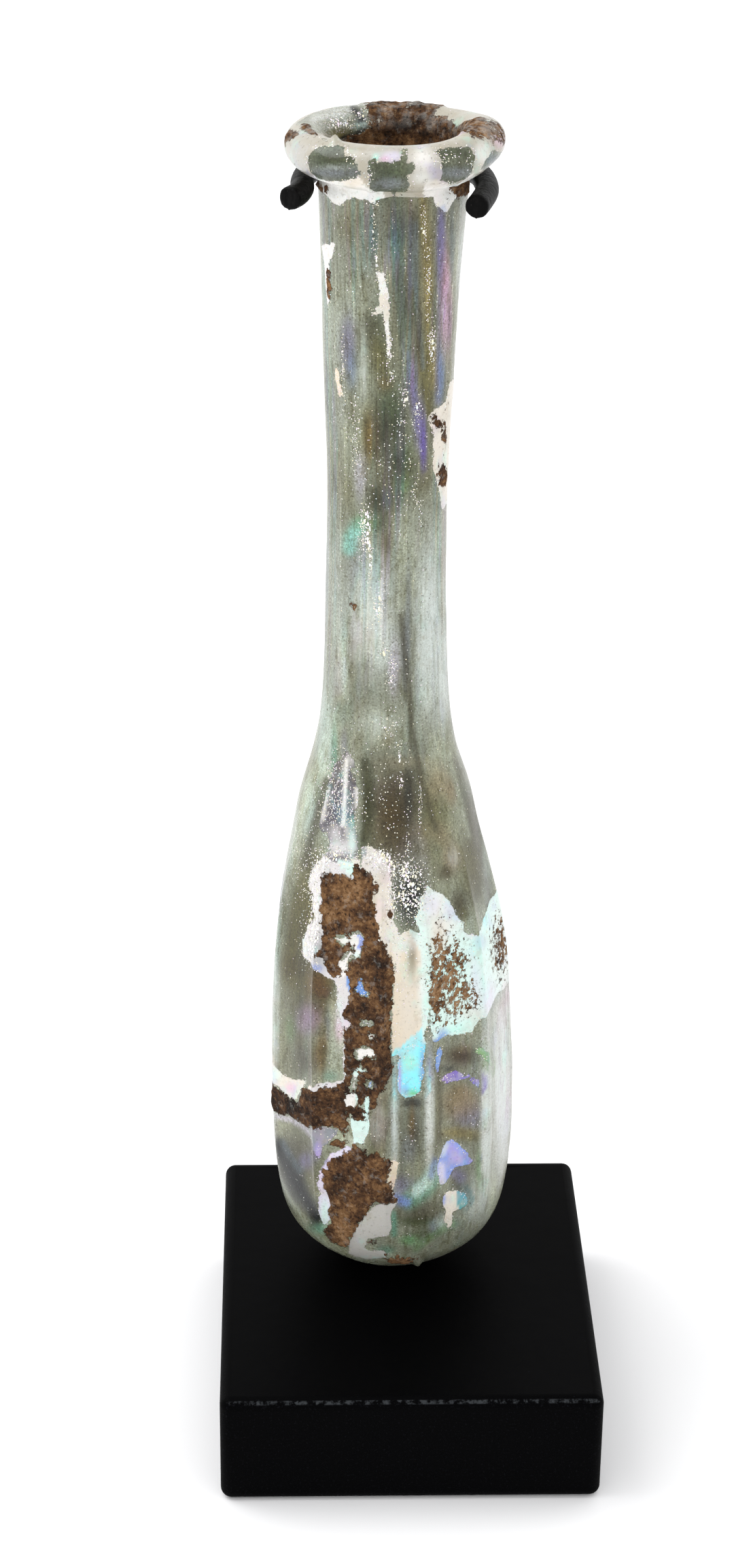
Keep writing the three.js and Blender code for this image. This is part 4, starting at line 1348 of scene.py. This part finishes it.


# %% [markdown]
# Weathered glass is three finishes that meet along ragged edges. Under everything is the glass itself:
# cloudy, so most of the light that passes through it is blurred. On top of it lie films that let no
# light through, and on those the soil. A mask chooses between them, point by point: it is the distance
# that was laid on the glass, plus noise that frays its edge. First come the colours: the hues of the
# rainbow, soil from wet to dry, and the tints of the painted glints. Four heights on the flask, in
# millimetres above the floor, say where the neck and the lip begin.

# %% Colours of weathering and of painted glints
RAINBOW = [
    (0.32, linear("lilac")), (0.40, linear("cornflower")), (0.47, linear("turquoise")),
    (0.52, linear("pale green")), (0.58, linear("gold")), (0.64, linear("pink")), (0.72, linear("lilac")),
]
SOIL = [
    (0.28, (0.008, 0.005, 0.004)), (0.40, (0.032, 0.016, 0.009)), (0.51, (0.095, 0.045, 0.020)),
    (0.62, (0.225, 0.118, 0.050)), (0.78, (0.420, 0.260, 0.140)),
]
GLINT = [
    (0.1, (1.0, 0.98, 0.9)), (0.4, (1.0, 0.9, 0.62)), (0.6, (0.85, 0.98, 1.0)), (0.8, (1.0, 0.86, 0.95)),
]
NECK_BEGINS = (104, 145)
NECK_ENDS = (186, 190)
LIP_BEGINS = (187, 190)
LIP_TOP = (191, 195)
CLEARNESS = 0.36
print(len(RAINBOW), "hues,", len(SOIL), "tones of soil")

# %% [markdown]
# The washes give the glass its colour. Its outer layers are as thin as a wave of light, which is where
# old glass has its rainbow from. Here a slow noise picks a hue from a ramp, and a noise that is
# stretched upwards picks one for the fine lines on the neck. Clouds, threads of glass and sand then
# lighten and darken the colour by multiplying it.

# %% Colour of the glass
def glass_paint(f, striae, neck, hue):
    """Washes with hues, clouds, threads and sand over them."""
    sand = f.noise(0.26, 2)
    lines = f.step(f.noise(5, 2, stretch=6), 0.47, 0.6) * (neck * 0.26 + 0.06)
    glass = f.attribute("glass colour", "Color")
    glass = f.paint(f.step(f.noise(9, 2, stretch=3), 0.47, 0.7) * 0.2, glass, hue, "COLOR")
    glass = f.paint(lines, glass, f.ramp(f.noise(1.1, 2, stretch=45), RAINBOW), "COLOR")
    for share, shade in (
        (f.step(f.noise(6, 3, stretch=2), 0.5, 0.72), (1.3, 1.3, 1.25)),
        (f.step(f.noise(1.1, 4, stretch=3), 0.48, 0.72), (0.68, 0.66, 0.56)),
        (f.step(striae, 0.58, 0.66) * (neck * 0.6 + 0.25), (1.5, 1.5, 1.45)),
        (f.step(striae, 0.43, 0.35) * (neck * 0.6 + 0.3), (0.62, 0.6, 0.52)),
        (f.step(f.noise(0.7, 5, stretch=2, rough=0.7), 0.54, 0.66), (0.74, 0.73, 0.68)),
        (f.step(sand, 0.54, 0.66), (0.6, 0.57, 0.48)),
        (f.step(sand, 0.44, 0.34), (1.45, 1.45, 1.42)),
    ):
        glass = f.paint(share, glass, shade, "MULTIPLY")
    return glass


# %% [markdown]
# A film keeps its own colour, with rainbow, grey and brown places in it, and where it glitters most it
# falls into silver strands. The sparkles are painted glints: flakes that stand at all angles, given pale
# white, gold, blue and pink colours. Each is one cell of a pattern of cells, and the cell's own random
# value decides whether it shines. That value is compared with how dense the glitter is.

# %% Colour of the films
def film_paint(f, crumbs, glitter, hue):
    """Film colour with hues, stains and strands."""
    skin = f.attribute("film colour", "Color")
    skin = f.paint(f.step(f.noise(3.5, 3), 0.45, 0.7) * 0.28, skin, hue)
    skin = f.paint(f.step(f.noise(1.6, 5), 0.47, 0.7) * 0.3, skin, linear("stone"))
    skin = f.paint(f.step(f.noise(2.4, 5, rough=0.7), 0.56, 0.68) * 0.25, skin, linear("tan"))
    skin = f.paint(f.step(crumbs, 0.56, 0.66) * (glitter * 0.55 + 0.2), skin, linear("smoke"))
    strands = f.step(f.noise(0.3, 4, stretch=9, rough=0.7), 0.57, 0.65) * f.step(glitter, 0.35, 0.7)
    return f.paint(strands * 0.8, skin, linear("white"))


def add_sparkles(f, skin, film_in, glitter, neck_threads):
    """Film colour with fine and coarse painted glints on it, and their mask."""
    dense = glitter * (f.noise(1.5, 3) + 0.5)
    edges = f.step(film_in, -0.5, 0.1) * f.step(film_in, 1.0, 0.3)
    fine, fine_tint = f.sparkles(0.17, dense * 0.34 + neck_threads * 0.08 + edges * 0.10)
    coarse, coarse_tint = f.sparkles(0.34, (dense - 0.7) * 0.8, stretch=1.6)
    skin = f.paint(fine, skin, f.ramp(fine_tint, GLINT))
    return f.paint(coarse, skin, f.ramp(coarse_tint, GLINT)), fine.most(coarse)


# %% [markdown]
# Soil is lumps, grains and crumbs of many browns. Three noises of different sizes are mixed and looked
# up in a ramp from nearly black to sand, and the dryness moves the place in the ramp. Some of it is
# grey, most of all on top of the lip, and small spots of it are nearly black.

# %% Colour of the soil
def soil_paint(f, grain, crumbs):
    """Soil from wet and dark to dry and pale."""
    mixture = grain * 0.35 + crumbs * 0.25 + f.noise(2.8, 4) * 0.4
    soil = f.ramp((mixture - 0.5) * 1.35 + 0.51 + f.attribute("dryness") * 0.09, SOIL)
    soil = f.paint(f.step(f.noise(1.2, 5, rough=0.7), 0.54, 0.66) * 0.22, soil, linear("stone"))
    on_top = f.step(f.axis("Z"), *LIP_TOP) * f.step(f.noise(1.6, 4), 0.42, 0.6)
    soil = f.paint(on_top * 0.36, soil, linear("stone"))
    soil = f.paint(f.step(crumbs, 0.60, 0.68) * 0.4, soil, linear("tan"))
    return f.paint(f.step(crumbs, 0.42, 0.34) * 0.7, soil, SOIL[0][1])


# %% [markdown]
# The material puts the three together. The masks come first, then the colours, and one bump for all of
# them. Only Base Color, Roughness, Metallic, Coat Weight, Normal and the factors of the Mix Shaders
# change over the surface. How clear the glass is stays one number on the shader.

# %% Weathered glass
def make_weathered_glass():
    """Cloudy glass with films, crust, grains and glitter."""
    f = Finish("weathered glass")
    film_in, glitter, veil = [f.attribute(name) for name in ("film", "glitter", "veil")]
    shreds = f.noise(2.2, 5, rough=0.62) - 0.5
    crumbs = f.noise(0.5, 4, rough=0.65)
    grain = f.noise(0.9, 5, rough=0.7)
    striae = f.noise(0.45, 3, stretch=60, rough=0.6)
    pits = f.step(f.noise(0.5, 2), 0.68, 0.74)
    neck = f.step(f.axis("Z"), *NECK_BEGINS) - f.step(f.axis("Z"), *NECK_ENDS)
    hue = f.ramp(f.noise(7, 3, stretch=2.5, wave=0.6), RAINBOW)

    film = f.step(film_in + shreds * 1.7 + (crumbs - 0.5) * (glitter * 1.5 + 0.6), -0.06, 0.06)
    crust = f.step(f.attribute("crust") + shreds * 2.6 + (grain - 0.5) * 2.4, -0.05, 0.08)
    crust = crust.most(f.step(f.noise(0.85, 5, rough=0.75) + f.attribute("speckle") * 0.29, 0.70, 0.72))
    # The milky veil, partly painted light along the outlines and ridges, frayed by noise.
    haze_and_painted_light = veil * (f.step(f.noise(2.2, 4, stretch=2), 0.25, 0.6) * 0.6 + f.step(striae, 0.42, 0.6) * 0.4)

    glass = f.paint(pits * 0.7, glass_paint(f, striae, neck, hue), linear("umber"))
    skin = film_paint(f, crumbs, glitter, hue)
    skin, glint = add_sparkles(f, skin, film_in, glitter, f.step(striae, 0.58, 0.66) * neck)
    height = film * 0.06 + crust * (0.1 + grain * 0.5) + striae * neck * 0.05 + f.noise(0.35, 2) * 0.03
    normal = f.bump(height + glint * 0.05 - pits * 0.05)

    body = f.principled(
        Base_Color=glass, Roughness=0.16 + f.noise(2, 4) * 0.25, IOR=1.5, Transmission_Weight=CLEARNESS,
        Specular_IOR_Level=0.2, Coat_Weight=f.step(f.axis("Z"), *LIP_BEGINS) * 0.25 + 0.05,
        Coat_Roughness=0.08, Normal=normal,
    )
    enamel = f.principled(
        Base_Color=skin, Roughness=0.34 - glint * 0.15, Metallic=glint * 0.4, Coat_Weight=0.3,
        Coat_Roughness=0.2, Normal=normal,
    )
    soil = soil_paint(f, grain, crumbs)
    earth = f.principled(Base_Color=soil, Roughness=0.92, Specular_IOR_Level=0.2, Normal=normal)
    skinned = f.node("ShaderNodeMixShader", {}, {0: film.most(glint).most(haze_and_painted_light), 1: body, 2: enamel})
    return f.done(f.node("ShaderNodeMixShader", {}, {0: crust, 1: skinned, 2: earth}))


glass.data.materials.append(make_weathered_glass())
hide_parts("glass_bottle")
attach(glass, "root")

# %% [markdown]
# The rod is bent from one kind of round bar. The post rises from the block close behind the glass, and
# the fork holds the neck under the lip. A bmesh sweep makes both: a circle is extruded again and again,
# and each new ring is put square to the path. A fine voxel remesh then welds post and fork, and rounds
# the cut ends as thick paint does.

# %% Rod with its fork
ROD_RADIUS = ROD_DIAMETER / 2
ROD_HOLE_DEPTH = 12
CLEARANCE = 0.3
STRAIGHT_HEIGHT = 8
FORK_DROP = 0.6
LEFT_TIP = (7.6, 1.8)
RIGHT_TIP = (11.2, 1.8)
ROD_SIDES = 20
ROD_VOXEL = 0.32
POST_STATIONS = 19
POST_STEPS = 150
FORK_STATIONS = 11
FORK_STEPS = 110
FORK_WALL_HEIGHT = BOTTLE_HEIGHT - LIP_THICKNESS - FORK_DROP - ROD_RADIUS


def beside_wall(level):
    """Radius and height of the rod's middle, square to the wall at a height."""
    slope = float(wall_radius(level + 0.5) - wall_radius(level - 0.5))
    stretch = (GLASS_GAP + ROD_RADIUS) / math.hypot(1, slope)
    return float(wall_radius(level)) + stretch, level - slope * stretch


def post_path():
    """Points up the back of the flask, from the hole to the fork."""
    hole_x = float(axis_drift(STRAIGHT_HEIGHT))
    hole_y = SET_BACK + beside_wall(STRAIGHT_HEIGHT)[0]
    points = [(hole_x, hole_y, BLOCK_HIGH[2] - ROD_HOLE_DEPTH + CLEARANCE), (hole_x, hole_y, BLOCK_HIGH[2])]
    for level in np.linspace(STRAIGHT_HEIGHT, FORK_WALL_HEIGHT, POST_STATIONS):
        out, up = beside_wall(level)
        points.append((float(axis_drift(up)), SET_BACK + out, SEAT + up))
    return points


def fork_path():
    """Points from the left tip round the back of the neck to the right tip."""
    out, up = beside_wall(FORK_WALL_HEIGHT)
    middle = float(axis_drift(up))
    (left, left_flare), (right, right_flare) = LEFT_TIP, RIGHT_TIP
    flat = [
        (-out - left_flare, -left), (-out - 0.35 * left_flare, -0.72 * left), (-out, -0.35 * left),
    ]
    bow = np.linspace(0, math.pi, FORK_STATIONS)
    flat += [(-out * math.cos(angle), out * math.sin(angle)) for angle in bow]
    flat += [(out, -0.35 * right), (out - 0.5 * right_flare, -0.72 * right), (out - right_flare, -right)]
    return [(middle + x, SET_BACK + y, SEAT + up) for x, y in flat]


def sweep(bm, points, steps, section_radius):
    """A round bar along a smooth path, closed at both ends."""
    path = [Vector(place) for place in spline(points, steps)]
    side = Vector((0, 0, 1)) if abs((path[1] - path[0]).z) < 0.1 else Vector((1, 0, 0))
    frames = []
    for index, place in enumerate(path):
        forward = (path[min(index + 1, steps)] - path[max(index - 1, 0)]).normalized()
        side = (side - forward * side.dot(forward)).normalized()
        turned = Matrix((side, forward.cross(side), forward)).transposed().to_4x4()
        frames.append(Matrix.Translation(place) @ turned)
    ring = bmesh.ops.create_circle(
        bm, cap_ends=True, radius=section_radius, segments=ROD_SIDES, matrix=frames[0],
    )["verts"]
    edges = list({edge for vertex in ring for edge in vertex.link_edges})
    for before, after in zip(frames, frames[1:]):
        grown = bmesh.ops.extrude_edge_only(bm, edges=edges)["geom"]
        ring = {item for item in grown if isinstance(item, bmesh.types.BMVert)}
        edges = [item for item in grown if isinstance(item, bmesh.types.BMEdge) and set(item.verts) <= ring]
        bmesh.ops.transform(bm, matrix=after @ before.inverted(), verts=list(ring))
    bmesh.ops.holes_fill(bm, edges=edges, sides=0)


def apply_modifiers(thing):
    """Makes the modifiers' result the object's own mesh."""
    shown = thing.evaluated_get(bpy.context.evaluated_depsgraph_get())
    result = bpy.data.meshes.new_from_object(shown)
    thing.modifiers.clear()
    thing.data = result


def make_rod():
    """Post and fork as one piece."""
    bm = bmesh.new()
    sweep(bm, post_path(), POST_STEPS, ROD_RADIUS)
    sweep(bm, fork_path(), FORK_STEPS, ROD_RADIUS)
    bmesh.ops.recalc_face_normals(bm, faces=bm.faces[:])
    bmesh.ops.scale(bm, vec=(MM, MM, MM), verts=bm.verts[:])
    rod = finish_mesh("fork_rod", bm)
    weld = rod.modifiers.new("weld", "REMESH")
    weld.mode = "VOXEL"
    weld.voxel_size = ROD_VOXEL * MM
    weld.use_smooth_shade = True
    round_off = rod.modifiers.new("round off", "SMOOTH")
    round_off.factor = 0.5
    round_off.iterations = 4
    apply_modifiers(rod)
    print("The welded rod has", len(rod.data.polygons), "faces")
    return rod


rod = make_rod()

# %% [markdown]
# The rod was brushed with black paint. The paint is satin, with brush marks, and a little dust lies on
# it.

# %% Black paint
def make_rod_paint():
    """Satin black paint, uneven and a little dusty."""
    f = Finish("black paint on the rod")
    brushed = f.noise(0.5, 4, stretch=3)
    dust = f.step(f.noise(0.22, 3), 0.70, 0.76)
    colour = f.paint(f.step(brushed, 0.4, 0.8), (0.0012, 0.0011, 0.0011), (0.007, 0.006, 0.006))
    colour = f.paint(dust * 0.5, colour, (0.12, 0.11, 0.10))
    height = brushed * 0.12 + f.noise(1.8, 2) * 0.15 + dust * 0.04
    shader = f.principled(
        Base_Color=colour, Roughness=0.3 + brushed * 0.3, Specular_IOR_Level=0.07, Normal=f.bump(height),
    )
    return f.done(shader)


rod.data.materials.clear()
rod.data.materials.append(make_rod_paint())
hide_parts("stand_rod_with_fork")
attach(rod, "root")

# %% [markdown]
# The block is a piece of board with softened edges and a hole for the rod. It starts as a cube, and the
# bevel operator rounds its edges. A Boolean modifier cuts the hole, because no single operator sinks a
# round hole into a flat face. Its cut leaves the top as one large face with many corners, and smooth
# shading would bend the light on it. So every face larger than the bevel's and the hole's is shaded
# flat.

# %% Block
EDGE_RADIUS = 1.6
EDGE_SEGMENTS = 7
HOLE_RADIUS = ROD_RADIUS + CLEARANCE
LARGEST_ROUNDED = 100
HOLE_SIDES = 40
SHARP_FROM = math.radians(40)


def make_block():
    """The rounded block with the rod's hole."""
    size = (BLOCK_HIGH - BLOCK_LOW) * MM
    bm = bmesh.new()
    bmesh.ops.create_cube(bm, size=1)
    bmesh.ops.scale(bm, vec=size, verts=bm.verts[:])
    bmesh.ops.translate(bm, vec=(BLOCK_LOW + BLOCK_HIGH) / 2 * MM, verts=bm.verts[:])
    bmesh.ops.bevel(
        bm, geom=bm.edges[:], offset=EDGE_RADIUS * MM, offset_type="OFFSET", segments=EDGE_SEGMENTS,
        profile=0.5, affect="EDGES", material=-1,
    )
    block = finish_mesh("lacquered_block", bm, smooth_angle=SHARP_FROM)
    depth = ROD_HOLE_DEPTH + CLEARANCE
    drill = bmesh.new()
    hole_x, hole_y, _ = post_path()[0]
    middle = Vector((hole_x, hole_y, BLOCK_HIGH[2] - ROD_HOLE_DEPTH + depth / 2)) * MM
    bmesh.ops.create_cone(
        drill, cap_ends=True, segments=HOLE_SIDES, radius1=HOLE_RADIUS * MM, radius2=HOLE_RADIUS * MM,
        depth=depth * MM, matrix=Matrix.Translation(middle),
    )
    bit = finish_mesh("drill", drill)
    cut = block.modifiers.new("hole", "BOOLEAN")
    cut.object = bit
    cut.solver = "EXACT"
    apply_modifiers(block)
    bpy.data.objects.remove(bit)
    rounded = [face.area < LARGEST_ROUNDED * MM ** 2 for face in block.data.polygons]
    block.data.polygons.foreach_set("use_smooth", rounded)
    print("The block's flat faces:", rounded.count(False))
    return block


block = make_block()

# %% [markdown]
# The lacquer is black and smooth on top, where it was rubbed down, and dull on the sides, which keep
# fine pores. Along the upper front edge years of handling have worn it to a pale broken line, which also
# stands for a painted highlight on that edge, and dust lies on it all over.

# %% Black lacquer
def make_lacquer():
    """Black lacquer with dust, pores and a worn front edge that carries a painted highlight."""
    f = Finish("black lacquer")
    top = f.step(f.axis("Z"), BLOCK_HIGH[2] - 0.5, BLOCK_HIGH[2] - 0.02)
    pores = f.step(f.noise(0.35, 3, rough=0.6), 0.56, 0.66)
    dust = f.step(f.noise(0.30, 2), 0.745, 0.78)
    fluff = f.step(f.noise(0.9, 2), 0.80, 0.83)
    from_front = f.axis("Y") - (BLOCK_LOW[1] + 0.45)
    from_top = f.axis("Z") - (BLOCK_HIGH[2] - 0.45)
    edge = f.step(from_front * from_front + from_top * from_top, 0.16, 0.02)
    # The front edge is pale both from wear and as a painted highlight.
    wear_and_edge_highlight = edge * f.step(f.noise(1.1, 4, rough=0.7), 0.44, 0.62)
    colour = f.paint(pores * (1 - top) * 0.5, (0.0008, 0.0008, 0.0010), (0.006, 0.006, 0.008))
    colour = f.paint(wear_and_edge_highlight * 0.35, colour, (0.10, 0.11, 0.12))
    colour = f.paint(dust * 0.25 + fluff * 0.4, colour, (0.05, 0.06, 0.08))
    height = f.noise(7, 2) * 0.06 + pores * (1 - top) * 0.05 + f.noise(0.8, 3) * 0.01
    shader = f.principled(
        Base_Color=colour, Roughness=0.5 - top * 0.1 + f.noise(3, 4) * 0.1, Specular_IOR_Level=0.02,
        Normal=f.bump(height),
    )
    return f.done(shader)


block.data.materials.append(make_lacquer())
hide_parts("base_block")
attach(block, "root")

# %% [markdown]
# The stage is a wide white floor in white light from all round, so the background is as pale as paper.
# One large lamp above on the left gives the soft shadow on the right of the block.

# %% Floor and light
FLOOR_SIDE = 8.0
FLOOR_WHITE = (0.97, 0.97, 0.98)
ROOM_LIGHT = 1.12
KEY_PLACE = Vector((-0.55, 0.10, 0.85))
KEY_AIM = Vector((0, 0, 0.08))
KEY_SIDE = 0.6
KEY_POWER = 3.5


def make_floor():
    """A white floor."""
    bm = bmesh.new()
    bmesh.ops.create_grid(bm, x_segments=1, y_segments=1, size=FLOOR_SIDE / 2)
    floor = finish_mesh("floor", bm)
    f = Finish("white floor")
    floor.data.materials.append(f.done(f.principled(Base_Color=FLOOR_WHITE, Roughness=0.9)))


def make_lamp(name, place, aim, side, power):
    """A square soft lamp turned to a point."""
    data = bpy.data.lights.new(name, "AREA")
    data.size = side
    data.energy = power
    lamp = bpy.data.objects.new(name, data)
    turn = (aim - place).to_track_quat("-Z", "Y").to_matrix().to_4x4()
    lamp.matrix_world = Matrix.Translation(place) @ turn
    bpy.context.collection.objects.link(lamp)


def make_world():
    """White light from all round."""
    world = bpy.data.worlds.new("white room")
    world.use_nodes = True
    background = world.node_tree.nodes["Background"]
    background.inputs["Color"].default_value = (1, 1, 1, 1)
    background.inputs["Strength"].default_value = ROOM_LIGHT
    bpy.context.scene.world = world


make_floor()
make_lamp("key", KEY_PLACE, KEY_AIM, KEY_SIDE, KEY_POWER)
make_world()
bpy.context.scene.view_settings.view_transform = "Standard"
